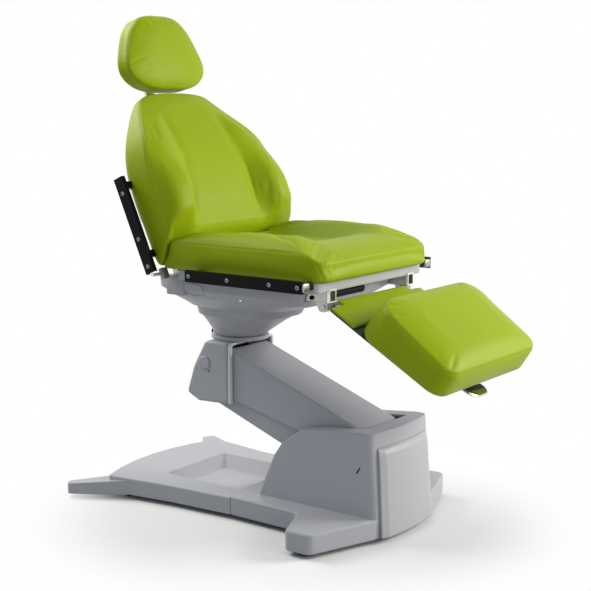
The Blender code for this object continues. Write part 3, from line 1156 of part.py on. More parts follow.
def leg_side(seat, chrome, plastic, leather):
    """The legrest on its hinge under the seat's front, with its release paddle."""
    reach = SEAT_TUBE_X + SEAT_TUBE_SIZE / 2 + 0.002
    add("leg_hinge_pin", pin(HINGE_RADIUS, -reach, reach, LEG_HINGE_Y, LEG_HINGE_Z), seat, chrome)
    leg_y, leg_z = SEAT_Y + LEG_HINGE_Y, SEAT_Z + LEG_HINGE_Z
    leg = pivot("leg_axis", leg_y, leg_z, LEG_ANGLE)
    leg_frame(leg, chrome, plastic)
    leg_pads(leg, leather)
    paddle_y = leg_y - PADDLE_REACH * math.cos(LEG_ANGLE) + PADDLE_DROP * math.sin(LEG_ANGLE)
    paddle_z = leg_z - PADDLE_REACH * math.sin(LEG_ANGLE) - PADDLE_DROP * math.cos(LEG_ANGLE)
    leg_paddle(pivot("paddle_axis", paddle_y, paddle_z, LEG_ANGLE - PADDLE_DIP), chrome)


def main():
    clear_scene()
    paint = finish("grey_paint", (0.47, 0.48, 0.53), 0.42)
    pale = finish("pale_grey", (0.72, 0.73, 0.74), 0.40)
    leather = finish("lime_leather", (0.36, 0.47, 0.03), 0.45)
    steel = finish("steel", (0.45, 0.46, 0.47), 0.45, 0.9)
    chrome = finish("chrome", (0.75, 0.74, 0.70), 0.18, 1.0)
    black = finish("black_rail", (0.02, 0.02, 0.02), 0.40)
    rubber = finish("rubber", (0.03, 0.03, 0.03), 0.80)
    plastic = finish("dark_plastic", (0.10, 0.10, 0.11), 0.55)

    base = pivot("base_origin", 0.0, 0.0)
    rear_base_cover(base, paint)
    front_housing(base, paint)
    front_panel(base, pale)
    levelling_feet(base, rubber)
    lift_side(base, paint, pale, steel, chrome, black, plastic)
    seat = pivot("swivel_axis", SEAT_Y, SEAT_Z)
    seat_structure(seat, steel, chrome, black)
    seat_cover(seat, paint)
    seat_soft(seat, pale, leather)
    seat_rails(seat, black)
    back_side(seat, pale, steel, chrome, black, plastic, leather)
    leg_side(seat, chrome, plastic, leather)


main()
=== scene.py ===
"""Looks of the orthodontic chair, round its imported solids.

Pads blown up as cloth, finishes for the mouldings, small fittings, the studio and the camera.
"""

import json
import logging
import math
from dataclasses import dataclass, field
from enum import Enum
from functools import cache
from typing import Callable

import bmesh
import bpy
from bmesh.types import BMesh
from bpy.types import ID, Material, Mesh, Node, NodeSocket, Object
from mathutils import Matrix, Vector
from mathutils.bvhtree import BVHTree
from mathutils.kdtree import KDTree

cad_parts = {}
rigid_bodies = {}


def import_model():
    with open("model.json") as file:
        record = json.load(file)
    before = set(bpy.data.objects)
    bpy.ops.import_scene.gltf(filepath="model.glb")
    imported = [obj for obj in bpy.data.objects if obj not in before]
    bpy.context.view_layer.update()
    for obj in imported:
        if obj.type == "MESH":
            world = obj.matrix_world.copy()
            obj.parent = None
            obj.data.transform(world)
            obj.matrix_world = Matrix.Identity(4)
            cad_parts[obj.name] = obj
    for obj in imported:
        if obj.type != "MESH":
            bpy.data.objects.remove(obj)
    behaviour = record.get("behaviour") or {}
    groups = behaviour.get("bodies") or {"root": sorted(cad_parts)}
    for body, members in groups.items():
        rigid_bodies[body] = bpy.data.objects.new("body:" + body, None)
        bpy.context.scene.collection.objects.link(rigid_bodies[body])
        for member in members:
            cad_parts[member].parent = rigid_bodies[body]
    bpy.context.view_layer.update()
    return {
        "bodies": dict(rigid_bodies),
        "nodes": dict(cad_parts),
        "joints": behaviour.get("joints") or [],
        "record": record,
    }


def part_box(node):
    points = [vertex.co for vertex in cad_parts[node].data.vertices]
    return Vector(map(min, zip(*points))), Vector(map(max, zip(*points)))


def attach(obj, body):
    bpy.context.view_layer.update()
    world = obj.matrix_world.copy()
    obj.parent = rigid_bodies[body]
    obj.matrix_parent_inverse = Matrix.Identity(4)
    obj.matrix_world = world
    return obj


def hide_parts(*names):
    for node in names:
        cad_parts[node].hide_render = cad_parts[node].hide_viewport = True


log = logging.getLogger("chair")

Point2 = tuple[float, float]
Point3 = tuple[float, float, float]
Points = tuple[Point2, ...]
Rings = list[list[Vector]]
Height = Callable[[float, float], float]

# Edges sharper than this stay sharp in the shading.
SHARP_ANGLE = math.radians(40.0)
# How far the back leans from upright at rest.
BACK_TILT = math.radians(-24.5)
# Stands up a pad that lies flat in its own axes, with its face to the front.
UPRIGHT = Matrix.Rotation(math.pi / 2, 4, "X")


class Slot(Enum):
    """The record's material slots."""

    PAINT = "grey_paint"
    PALE = "pale_grey"
    LEATHER = "lime_leather"
    STEEL = "steel"
    CHROME = "chrome"
    BLACK = "black_rail"
    RUBBER = "rubber"
    PLASTIC = "dark_plastic"


class Side(Enum):
    """The sitter's two sides, as signs along X."""

    LEFT = 1
    RIGHT = -1

    @property
    def word(self) -> str:
        """The side's word in the names of pieces."""
        return self.name.lower()

    @property
    def way(self) -> Vector:
        """The direction out to this side."""
        return Vector((self.value, 0.0, 0.0))


def ease(value: float, low: float, high: float) -> float:
    """Rises smoothly from 0 at low to 1 at high."""
    t = min(max((value - low) / (high - low), 0.0), 1.0)
    return t * t * (3 - 2 * t)


def always(value: float) -> Height:
    """A height that is the same everywhere."""
    return lambda a, b: value


def around(count: int) -> list[float]:
    """The angles of evenly spaced points round a circle."""
    return [2 * math.pi * n / count for n in range(count)]


@dataclass
class NodeTree:
    """The nodes of a material or the world, set up and linked by name."""

    tree: bpy.types.NodeTree

    def fill(self, node: Node, **values: object) -> None:
        """Sets a node up.

        Args:
            node: The node.
            **values: Attributes of the node, or by an input's name, with underscores for
                spaces, its value or the output to link to it.
        """
        for key, value in values.items():
            if hasattr(node, key):
                setattr(node, key, value)
                continue
            socket = node.inputs[key.replace("_", " ")]
            if isinstance(value, NodeSocket):
                self.tree.links.new(value, socket)
            else:
                socket.default_value = value

    def add(self, kind: str, *sources: NodeSocket, **values: object) -> Node:
        """Adds a node.

        Args:
            kind: Blender's node type.
            *sources: The outputs to link to its first inputs, in order.
            **values: What fill takes.

        Returns:
            The new node.
        """
        node = self.tree.nodes.new(kind)
        for source, socket in zip(sources, node.inputs):
            self.tree.links.new(source, socket)
        self.fill(node, **values)
        return node


@dataclass(frozen=True)
class Finish:
    """A surface: its colour, how it varies, its gloss and its fine relief."""

    name: str
    slot: Slot
    colour: Point3
    tint: Point3
    roughness: float
    metallic: float = 0.0
    patch_scale: float = 6.0
    grain_scale: float = 900.0
    grain_depth: float = 0.0002
    gloss_spread: float = 0.08
    specular: float = 0.5
    pebbled: bool = False
    round_edge: float = 0.0
    patch_ends: Point2 = (0.32, 0.7)
    least_roughness: float = 0.03
    relief: float = 0.35

    @cache
    def material(self) -> Material:
        """Builds the procedural material, once.

        Returns:
            The material, with colour, roughness and bump from its nodes.
        """
        made = bpy.data.materials.new(self.name)
        made.use_nodes = True
        tree = NodeTree(made.node_tree)
        place = tree.add("ShaderNodeTexCoord").outputs["Object"]
        patch = tree.add("ShaderNodeTexNoise", place, Scale=self.patch_scale, Detail=4.0,
                         Roughness=0.55).outputs["Fac"]
        ramp = tree.add("ShaderNodeValToRGB", patch)
        stops = zip(ramp.color_ramp.elements, self.patch_ends, (self.colour, self.tint))
        for stop, position, colour in stops:
            stop.position = position
            stop.color = (*colour, 1.0)
        least = max(self.least_roughness, self.roughness - self.gloss_spread)
        gloss = tree.add("ShaderNodeMapRange", patch, To_Min=least,
                         To_Max=self.roughness + self.gloss_spread)
        if self.pebbled:
            grain = tree.add("ShaderNodeTexVoronoi", place, feature="SMOOTH_F1",
                             Scale=self.grain_scale, Smoothness=0.6).outputs["Distance"]
        else:
            grain = tree.add("ShaderNodeTexNoise", place, Scale=self.grain_scale, Detail=3.0,
                             Roughness=0.6).outputs["Fac"]
        bump = tree.add("ShaderNodeBump", Strength=self.relief, Distance=self.grain_depth,
                        Height=grain)
        if self.round_edge:
            soft = tree.add("ShaderNodeBevel", samples=4, Radius=self.round_edge)
            tree.fill(bump, Normal=soft.outputs["Normal"])
        tree.fill(made.node_tree.nodes["Principled BSDF"], Metallic=self.metallic,
                  Specular_IOR_Level=self.specular, Base_Color=ramp.outputs["Color"],
                  Roughness=gloss.outputs["Result"], Normal=bump.outputs["Normal"])
        return made


# The finish of each slot.
LEATHER = Finish("lime_upholstery", Slot.LEATHER, (0.3, 0.4, 0.002), (0.326, 0.428, 0.004), 0.45,
                 patch_scale=5.0, grain_scale=520.0, grain_depth=0.00018, gloss_spread=0.05,
                 specular=0.14, pebbled=True)
PAINT = Finish("blue_grey_moulding", Slot.PAINT, (0.44, 0.449, 0.482), (0.462, 0.47, 0.5), 0.42,
               patch_scale=3.0, grain_scale=1400.0, grain_depth=0.00012, specular=0.3,
               round_edge=0.0035)
PALE = Finish("pale_grey_moulding", Slot.PALE, (0.455, 0.462, 0.478), (0.48, 0.486, 0.5), 0.38,
              patch_scale=4.0, grain_scale=1400.0, grain_depth=0.0001, specular=0.3,
              round_edge=0.003)
STEEL = Finish("painted_steel", Slot.STEEL, (0.21, 0.215, 0.225), (0.25, 0.255, 0.265), 0.46,
               metallic=0.6, patch_scale=9.0, grain_scale=700.0)
CHROME = Finish("bright_plating", Slot.CHROME, (0.68, 0.67, 0.63), (0.76, 0.75, 0.71), 0.16,
                metallic=1.0, patch_scale=14.0, grain_scale=400.0, grain_depth=0.00005,
                gloss_spread=0.05)
BLACK = Finish("black_coating", Slot.BLACK, (0.004, 0.004, 0.004), (0.007, 0.007, 0.007), 0.4,
               patch_scale=10.0, grain_scale=1600.0, grain_depth=0.00015, specular=0.08)
RUBBER = Finish("black_rubber", Slot.RUBBER, (0.014, 0.014, 0.014), (0.022, 0.022, 0.022), 0.78,
                patch_scale=20.0, grain_scale=1100.0, specular=0.3)
PLASTIC = Finish("dark_plastic_moulding", Slot.PLASTIC, (0.03, 0.031, 0.034),
                 (0.042, 0.043, 0.047), 0.52, grain_scale=1500.0, specular=0.2)
FINISH_OF: dict[Slot, Finish] = {
    finish.slot: finish
    for finish in (LEATHER, PAINT, PALE, STEEL, CHROME, BLACK, RUBBER, PLASTIC)}

# Finishes of single pieces, which share a slot with one of those above.
WHITE_EDGE = Finish("white_edge", Slot.PALE, (0.72, 0.725, 0.73), (0.76, 0.765, 0.77), 0.36,
                    grain_scale=1400.0, grain_depth=0.0001, specular=0.3)
ZINC = Finish("zinc_plating", Slot.CHROME, (0.36, 0.355, 0.335), (0.43, 0.425, 0.4), 0.34,
              metallic=1.0, patch_scale=12.0, grain_scale=500.0, grain_depth=0.0001)
BRUSHED = Finish("brushed_plating", Slot.CHROME, (0.74, 0.73, 0.66), (0.8, 0.79, 0.72), 0.42,
                 metallic=1.0, patch_scale=12.0, grain_scale=500.0, grain_depth=0.0001)
THREAD = Finish("seam_thread", Slot.LEATHER, (0.36, 0.47, 0.05), (0.42, 0.53, 0.08), 0.6,
                grain_scale=3000.0, specular=0.3)


def link(name: str, data: ID) -> Object:
    """Adds an object to the scene.

    Args:
        name: The object's name.
        data: Its mesh, lamp or camera.

    Returns:
        The new object.
    """
    made = bpy.data.objects.new(name, data)
    bpy.context.scene.collection.objects.link(made)
    return made


def make_object(name: str, bm: BMesh, body: str, finish: Finish) -> None:
    """Makes a shown piece that rides a body.

    Args:
        name: The piece's name.
        bm: Its mesh, in the row frame; freed here.
        body: The body it moves with.
        finish: Its surface.
    """
    bmesh.ops.recalc_face_normals(bm, faces=bm.faces)
    mesh = bpy.data.meshes.new(name)
    bm.to_mesh(mesh)
    bm.free()
    mesh.shade_smooth()
    mesh.set_sharp_from_angle(angle=SHARP_ANGLE)
    mesh.materials.append(finish.material())
    made = link(name, mesh)
    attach(made, body)
    log.info("%s rides %s", name, body)


def ring_mesh(bm: BMesh, rings: Rings) -> None:
    """Skins rings of equally many points and caps both ends.

    Args:
        bm: The mesh to add to.
        rings: The rings, in order.
    """
    rows = [[bm.verts.new(p) for p in ring] for ring in rings]
    for low, high in zip(rows, rows[1:]):
        for i in range(len(low)):
            j = (i + 1) % len(low)
            bm.faces.new((low[i], low[j], high[j], high[i]))
    bm.faces.new(rows[0])
    bm.faces.new(rows[-1])


def surface(mesh: Mesh, place: Matrix) -> BVHTree:
    """A mesh's surface, moved to its place."""
    spots = [place @ v.co for v in mesh.vertices]
    return BVHTree.FromPolygons(spots, [p.vertices for p in mesh.polygons])


def smooth_loop(half: list[Point2], per: int = 5) -> list[Point2]:
    """Draws a smooth closed outline, alike on both sides of the middle.

    Args:
        half: Points of its right half, from the middle of one end round to the other's.
        per: How many points replace each given one.

    Returns:
        The closed outline.
    """
    loop = half + [(-a, b) for a, b in reversed(half[1:-1])]
    count = len(loop)
    points: list[Point2] = []
    for i in range(count):
        p0, p1, p2, p3 = (Vector(loop[(i + k - 1) % count]) for k in range(4))
        for k in range(per):
            t = k / per
            bent = (2 * p1 + (p2 - p0) * t + (2 * p0 - 5 * p1 + 4 * p2 - p3) * t**2
                    + (3 * p1 - p0 - 3 * p2 + p3) * t**3) / 2
            points.append((bent.x, bent.y))
    return points


def corner_loop(half: list[Point3], steps: int = 8, most: float = 0.015) -> list[Point2]:
    """Draws a closed outline with round corners, alike on both sides of the middle.

    Args:
        half: The corners of its right half, from one end to the other, each with its radius.
        steps: Points on each corner's arc.
        most: The longest step along a side.

    Returns:
        The closed outline, with its sides evenly split.
    """
    corners = half + [(-a, b, radius) for a, b, radius in reversed(half)]
    raw: list[Vector] = []
    for i, (a, b, radius) in enumerate(corners):
        here = Vector((a, b))
        if not radius:
            raw.append(here)
            continue
        back = (Vector(corners[i - 1][:2]) - here).normalized()
        ahead = (Vector(corners[(i + 1) % len(corners)][:2]) - here).normalized()
        wide = back.angle(ahead) / 2
        middle = here + (back + ahead).normalized() * radius / math.sin(wide)
        start = here + back * radius / math.tan(wide) - middle
        end = here + ahead * radius / math.tan(wide) - middle
        turn = math.atan2(start.cross(end), start.dot(end))
        for k in range(steps + 1):
            raw.append(middle + Matrix.Rotation(turn * k / steps, 2) @ start)
    points: list[Point2] = []
    for i, here in enumerate(raw):
        there = raw[(i + 1) % len(raw)]
        parts = max(1, math.ceil((there - here).length / most))
        points.extend(tuple(here.lerp(there, k / parts)) for k in range(parts))
    return points


# Profiles of the pads' sides, from the back up to the seam: share of outline, share of height.
SOFT_SIDES: Points = ((0.975, 0.03), (0.992, 0.11), (0.988, 0.5), (0.995, 0.86), (1.0, 1.0))
FULL_SIDES: Points = ((0.985, 0.03), (0.996, 0.1), (0.995, 0.5), (0.998, 0.86), (1.0, 1.0))
HEAD_SIDES: Points = ((0.965, 0.03), (0.985, 0.14), (0.975, 0.5), (0.988, 0.86), (1.0, 1.0))
CALF_SIDES: Points = ((0.965, 0.04), (0.985, 0.14), (0.992, 0.5), (0.996, 0.86), (1.0, 1.0))
# Where the back of a pad with full sides begins, as a share of its outline.
FULL_TUCK = 0.968


@dataclass
class Pad:
    """An upholstered pad: boxy sides under a crowned face, blown up as cloth between its seams."""

    name: str
    node: str
    body: str
    outline: list[Point2]
    centre: Point2
    edge: Height
    crown: Height
    place: Matrix
    seams: list[list[Point3]] = field(default_factory=list)
    lean: Height = always(0.0)
    face_power: Height = always(9.0)
    sides: Points = SOFT_SIDES
    tuck: float = 0.955
    shrink: float = 0.991
    settle: float = 0.003
    voxel: float = 0.006
    swell: float = 0.007
    pressure: float = 4.0
    fill: float = 0.75
    back_rings: Point2 = (0.3, 0.7)
    face_rings: tuple[float, ...] = (
        0.997, 0.99, 0.975, 0.955, 0.93, 0.9, 0.865, 0.825, 0.78, 0.72, 0.65, 0.57, 0.48, 0.38,
        0.27, 0.15, 0.05)
    held_back: float = 0.004
    held_reach: float = 0.014
    cloth_frames: int = 20
    cloth: tuple[tuple[str, float], ...] = (
        ("quality", 4), ("tension_stiffness", 20.0), ("compression_stiffness", 20.0),
        ("bending_stiffness", 0.6))
    seam_step: float = 0.0025
    channel_depth: float = 0.0022
    channel_width: float = 0.0045
    stitch: Points = ((-0.0016, 0.3), (-0.001, 1.0), (0.001, 1.0), (0.0016, 0.3))
    stitch_aside: float = 0.0038
    stitch_sink: float = 0.00015
    stitch_points: int = 5
    thread_radius: float = 0.0005

    def ring(self, share: float) -> list[Point2]:
        """The outline shrunk about the centre."""
        middle = Vector(self.centre)
        return [tuple(middle.lerp(Vector(p), share * self.shrink)) for p in self.outline]

    def skin(self, a: float, b: float, height: float) -> Vector:
        """A point of the skin, leaned with its height."""
        return Vector((a, b - self.lean(a, b) * height, height))

    def top(self, a: float, b: float, share: float) -> float:
        """The face's height at a point that lies at a share of the way out to the edge."""
        low, high = self.edge(a, b), self.crown(a, b) - self.settle
        return low + (1.0 - share ** self.face_power(a, b)) * (high - low)

    def shape(self) -> BMesh:
        """Skins the pad in its own axes.

        Returns:
            A closed mesh.
        """
        bm = bmesh.new()
        rings: Rings = []
        for share in (*self.back_rings, self.tuck):
            rings.append([self.skin(a, b, 0.0) for a, b in self.ring(share)])
        for share, part in self.sides:
            rings.append([self.skin(a, b, part * self.edge(a, b)) for a, b in self.ring(share)])
        for share in self.face_rings:
            rings.append([self.skin(a, b, self.top(a, b, share)) for a, b in self.ring(share)])
        ring_mesh(bm, rings)
        bmesh.ops.recalc_face_normals(bm, faces=bm.faces)
        return bm

    def rim(self) -> list[Point3]:
        """The seam that runs right round the edge."""
        loop = self.outline + self.outline[:1]
        return [(a, b, self.edge(a, b)) for a, b in loop]

    def seam_points(self) -> Rings:
        """Every seam as points a few millimetres apart, in the pad's own axes.

        Returns:
            One list of points for each seam.
        """
        dense: Rings = []
        middle = Vector(self.centre)
        for seam in self.seams or [self.rim()]:
            line = []
            for a, b, height in seam:
                drawn = middle.lerp(Vector((a, b)), self.shrink)
                line.append(self.skin(drawn.x, drawn.y, height))
            made: list[Vector] = []
            for p, q in zip(line, line[1:]):
                parts = max(1, round((q - p).length / self.seam_step))
                made.extend(p.lerp(q, k / parts) for k in range(parts))
            dense.append(made)
        return dense

    def inflate(self, obj: Object, tree: KDTree) -> None:
        """Blows the skin up as cloth held at its seams and back, then keeps the swelling small.

        Args:
            obj: The remeshed skin.
            tree: All seam points.
        """
        scene = bpy.context.scene
        mesh = obj.data
        start = [v.co.copy() for v in mesh.vertices]
        held = obj.vertex_groups.new(name="held")
        for v in mesh.vertices:
            near = tree.find(v.co)[2]
            grip = 1.0 if v.co.z < self.held_back else max(0.0, 1.0 - near / self.held_reach)
            held.add([v.index], grip, "REPLACE")
        cloth = obj.modifiers.new("stuffing", "CLOTH")
        cloth.settings.vertex_group_mass = held.name
        cloth.settings.use_pressure = True
        cloth.settings.uniform_pressure_force = self.pressure
        cloth.settings.effector_weights.gravity = 0.0
        for key, value in self.cloth:
            setattr(cloth.settings, key, value)
        cloth.collision_settings.use_collision = False
        cloth.point_cache.frame_start = 1
        cloth.point_cache.frame_end = self.cloth_frames
        for number in range(1, self.cloth_frames + 1):
            scene.frame_set(number)
        shown = obj.evaluated_get(bpy.context.evaluated_depsgraph_get())
        moved = [v.co.copy() for v in shown.data.vertices]
        obj.modifiers.remove(cloth)
        obj.vertex_groups.clear()
        scene.frame_set(1)
        far = sorted((b - a).length * 1e3 for a, b in zip(start, moved))
        log.info("%s swells by %.1f mm at most, %.1f mm half way", self.name, far[-1],
                 far[len(far) // 2])
        for v, a, b in zip(mesh.vertices, start, moved):
            step = b - a
            v.co = a + step * min(1.0, self.swell / max(step.length, 1e-9))

    def sew(self, mesh: Mesh, tree: KDTree) -> None:
        """Sinks the skin into a narrow channel along every seam.

        Args:
            mesh: The skin.
            tree: All seam points.
        """
        sunk: list[Vector] = []
        for v in mesh.vertices:
            near = tree.find(v.co)[2] / self.channel_width
            sunk.append(v.co - v.normal * self.channel_depth * math.exp(-(near ** 2)))
        for v, co in zip(mesh.vertices, sunk):
            v.co = co

    def stitches(self, mesh: Mesh, lines: Rings) -> None:
        """Lays thread stitches beside the seams.

        Args:
            mesh: The finished skin, in the pad's own axes.
            lines: The seams' points.
        """
        skin = surface(mesh, Matrix())
        bm = bmesh.new()
        for line in lines:
            for k in range(0, len(line) - 1, 2):
                here, normal, _, _ = skin.find_nearest(line[k])
                way = (line[k + 1] - line[k]).normalized()
                side = normal.cross(way).normalized()
                up = way.cross(side)
                spot = skin.find_nearest(here + side * self.stitch_aside)[0]
                spot -= normal * self.stitch_sink
                spokes = [side * math.cos(t) + up * math.sin(t)
                          for t in around(self.stitch_points)]
                ring_mesh(bm, [[spot + way * reach + spoke * self.thread_radius * size
                                for spoke in spokes] for reach, size in self.stitch])
        bm.transform(self.place)
        make_object(f"{self.name}_stitches", bm, self.body, THREAD)

    def settled(self, obj: Object, kind: str, **values: object) -> Mesh:
        """Applies one modifier.

        Args:
            obj: The object.
            kind: The modifier's type.
            **values: The modifier's settings.

        Returns:
            The new mesh.
        """
        modifier = obj.modifiers.new("step", kind)
        for key, value in values.items():
            setattr(modifier, key, value)
        shown = obj.evaluated_get(bpy.context.evaluated_depsgraph_get())
        mesh = bpy.data.meshes.new_from_object(shown)
        obj.modifiers.clear()
        obj.data = mesh
        return mesh

    def build(self) -> None:
        """Makes the pad and its stitches."""
        bm = self.shape()
        mesh = bpy.data.meshes.new(self.name)
        bm.to_mesh(mesh)
        bm.free()
        made = link(self.name, mesh)
        self.settled(made, "REMESH", mode="VOXEL", voxel_size=self.voxel)
        self.settled(made, "SMOOTH", factor=0.5, iterations=4)
        lines = self.seam_points()
        tree = KDTree(sum(len(line) for line in lines))
        for i, point in enumerate(p for line in lines for p in line):
            tree.insert(point, i)
        tree.balance()
        self.inflate(made, tree)
        skin = self.settled(made, "SUBSURF", levels=1, render_levels=1)
        self.sew(skin, tree)
        skin.shade_smooth()
        self.stitches(skin, lines)
        skin.transform(self.place)
        skin.update()
        skin.materials.clear()
        skin.materials.append(LEATHER.material())
        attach(made, self.body)
        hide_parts(self.node)
        log.info("%s rides %s: %d vertices", self.name, self.body, len(skin.vertices))


@dataclass
class Fastener:
    """Screw heads with a hexagon socket."""

    radius: float = 0.0062
    height: float = 0.0032
    socket: float = 0.003
    points: int = 18
    dome: Points = ((1.0, 0.0), (1.0, 0.35), (0.86, 0.85), (0.7, 1.0))
    socket_ends: Point2 = (1.0, 0.25)

    def hexagon(self, t: float) -> float:
        """How far the socket's wall lies from the middle, at an angle."""
        return self.socket * math.cos(math.pi / 6) / math.cos((t % (math.pi / 3)) - math.pi / 6)

    def add(self, bm: BMesh, spot: Vector, out: Vector) -> None:
        """Adds one head.

        Args:
            bm: The mesh to add to.
            spot: The centre of its seat.
            out: The way it faces.
        """
        turn = out.to_track_quat("Z", "Y").to_matrix()
        angles = around(self.points)
        loops = [([self.radius * share] * self.points, rise) for share, rise in self.dome]
        loops += [([self.hexagon(t) for t in angles], rise) for rise in self.socket_ends]
        rings = []
        for reaches, rise in loops:
            points = ((reach * math.cos(t), reach * math.sin(t), self.height * rise)
                      for t, reach in zip(angles, reaches))
            rings.append([spot + turn @ Vector(point) for point in points])
        ring_mesh(bm, rings)


def joint_spot(frame: dict, name: str) -> Vector:
    """Where a joint's axis is in the row frame."""
    return Vector(next(j["pos_m"] for j in frame["joints"] if j["name"] == name))


def joint_place(frame: dict, name: str, tilt: float) -> Matrix:
    """A matrix from the axes of a body tilted about a joint to the row frame."""
    return Matrix.Translation(joint_spot(frame, name)) @ Matrix.Rotation(tilt, 4, "X")


@dataclass
class Seat:
    """The seat's pad, with side bolsters and a front that rolls over, and its rails' screws.

    Pairs are spans over which a form sets in: bolster_rise in shares of the half width,
    seam_turn in metres from the front, the others in shares of the length from the front.
    """

    frame: dict
    length: float = 0.558
    corner: float = 0.044
    rear_corner: float = 0.007
    rear_over: float = 0.007
    narrowing: float = 0.021
    notch: float = 0.14
    notch_run: float = 0.04
    notch_depth: float = 0.01
    trough: float = 0.063
    bolster: float = 0.051
    bolster_rise: Point2 = (0.42, 0.74)
    bolster_front: float = 0.57
    bolster_grow: Point2 = (0.08, 0.28)
    roll: float = 0.025
    roll_end: Point2 = (0.22, 0.46)
    fall: float = 0.02
    fall_end: Point2 = (0.0, 0.19)
    side_seam: float = 0.078
    front_edge: float = 0.058
    edge_rise: Point2 = (0.015, 0.13)
    seam_start: float = 0.006
    seam_turn: Point2 = (0.003, 0.046)
    seam_power: float = 0.6
    front_power: float = 6.0
    power_gain: float = 4.0
    power_grow: Point2 = (0.0, 0.2)
    rear_lean: float = 0.45
    shrink: float = 0.996
    screws: tuple[float, ...] = (0.035, 0.265, 0.622, 0.965)

    def __post_init__(self) -> None:
        """Reads where the pad's solid lies."""
        low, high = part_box("seat_pad")
        self.half = high.x
        self.base = low.z
        self.swivel = joint_spot(self.frame, "swivel")
        self.front = low.y - self.swivel.y
        self.rear = self.front + self.length
        self.middle = (self.front + self.rear) / 2

    def back_share(self, b: float) -> float:
        """How far back a point lies, from 0 at the front to 1 at the rear."""
        return (b - self.front) / self.length

    def crown(self, a: float, b: float) -> float:
        """The face's height: side bolsters that die out into the rolled front.

        Args:
            a: How far to the side.
            b: How far back.

        Returns:
            The height over the pad's back.
        """
        back = self.back_share(b)
        rise = ease(abs(a), *(share * self.half for share in self.bolster_rise))
        grown = self.bolster_front + (1 - self.bolster_front) * ease(back, *self.bolster_grow)
        roll = self.roll * (1 - rise) * (1 - ease(back, *self.roll_end))
        fall = self.fall * (1 - ease(back, *self.fall_end))
        return self.trough + self.bolster * rise * grown + roll - fall

    def edge(self, a: float, b: float) -> float:
        """The height of the sides, which drops at the rolled front."""
        rise = ease(self.back_share(b), *self.edge_rise)
        return self.front_edge + (self.side_seam - self.front_edge) * rise

    def lean(self, a: float, b: float) -> float:
        """How much the rear face leans forward."""
        return self.rear_lean * ease(b, self.middle, self.rear)

    def face_power(self, a: float, b: float) -> float:
        """How squarely the face meets its edge, rounder at the front."""
        return self.front_power + self.power_gain * ease(self.back_share(b), *self.power_grow)

    def outline(self) -> list[Point2]:
        """The sewn edge: a rounded box, narrower in front, notched for the back's levers.

        Returns:
            The closed outline.
        """
        rear = self.rear + self.rear_over
        half = [(self.half, self.front, self.corner), (self.half, rear, self.rear_corner),
                (self.notch + self.notch_run, rear, 0.0),
                (self.notch, self.rear - self.notch_depth, 0.0)]
        points = []
        for a, b in corner_loop(half):
            reach = 2 * (b - self.middle) / self.length
            points.append((a * (1 - self.narrowing * min(reach, 0.0) ** 2), b))
        return points

    def seam(self, outline: list[Point2]) -> list[Point3]:
        """The side panels' seam: down one front corner, round the rear, down the other corner.

        Args:
            outline: The sewn edge.

        Returns:
            The seam's points.
        """
        points = []
        for a, b in outline:
            back = b - self.front
            if back > self.seam_start:
                rise = ease(back, *self.seam_turn) ** self.seam_power
                points.append((a, b, self.side_seam * rise))
        return points

    def build(self) -> None:
        """Makes the pad and the rail screws."""
        outline = self.outline()
        place = Matrix.Translation((0.0, self.swivel.y, self.base))
        Pad("seat_cushion", "seat_pad", "seat", outline, (0.0, self.middle), self.edge,
            self.crown, place, [self.seam(outline)], self.lean, self.face_power, FULL_SIDES,
            tuck=FULL_TUCK, shrink=self.shrink).build()
        for side in Side:
            low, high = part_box(f"seat_rail_{side.word}")
            bm = bmesh.new()
            x = high.x if side is Side.LEFT else low.x
            for share in self.screws:
                y = low.y + share * (high.y - low.y)
                Fastener().add(bm, Vector((x, y, (low.z + high.z) / 2)), side.way)
            make_object(f"seat_rail_screws_{side.word}", bm, "seat", STEEL)


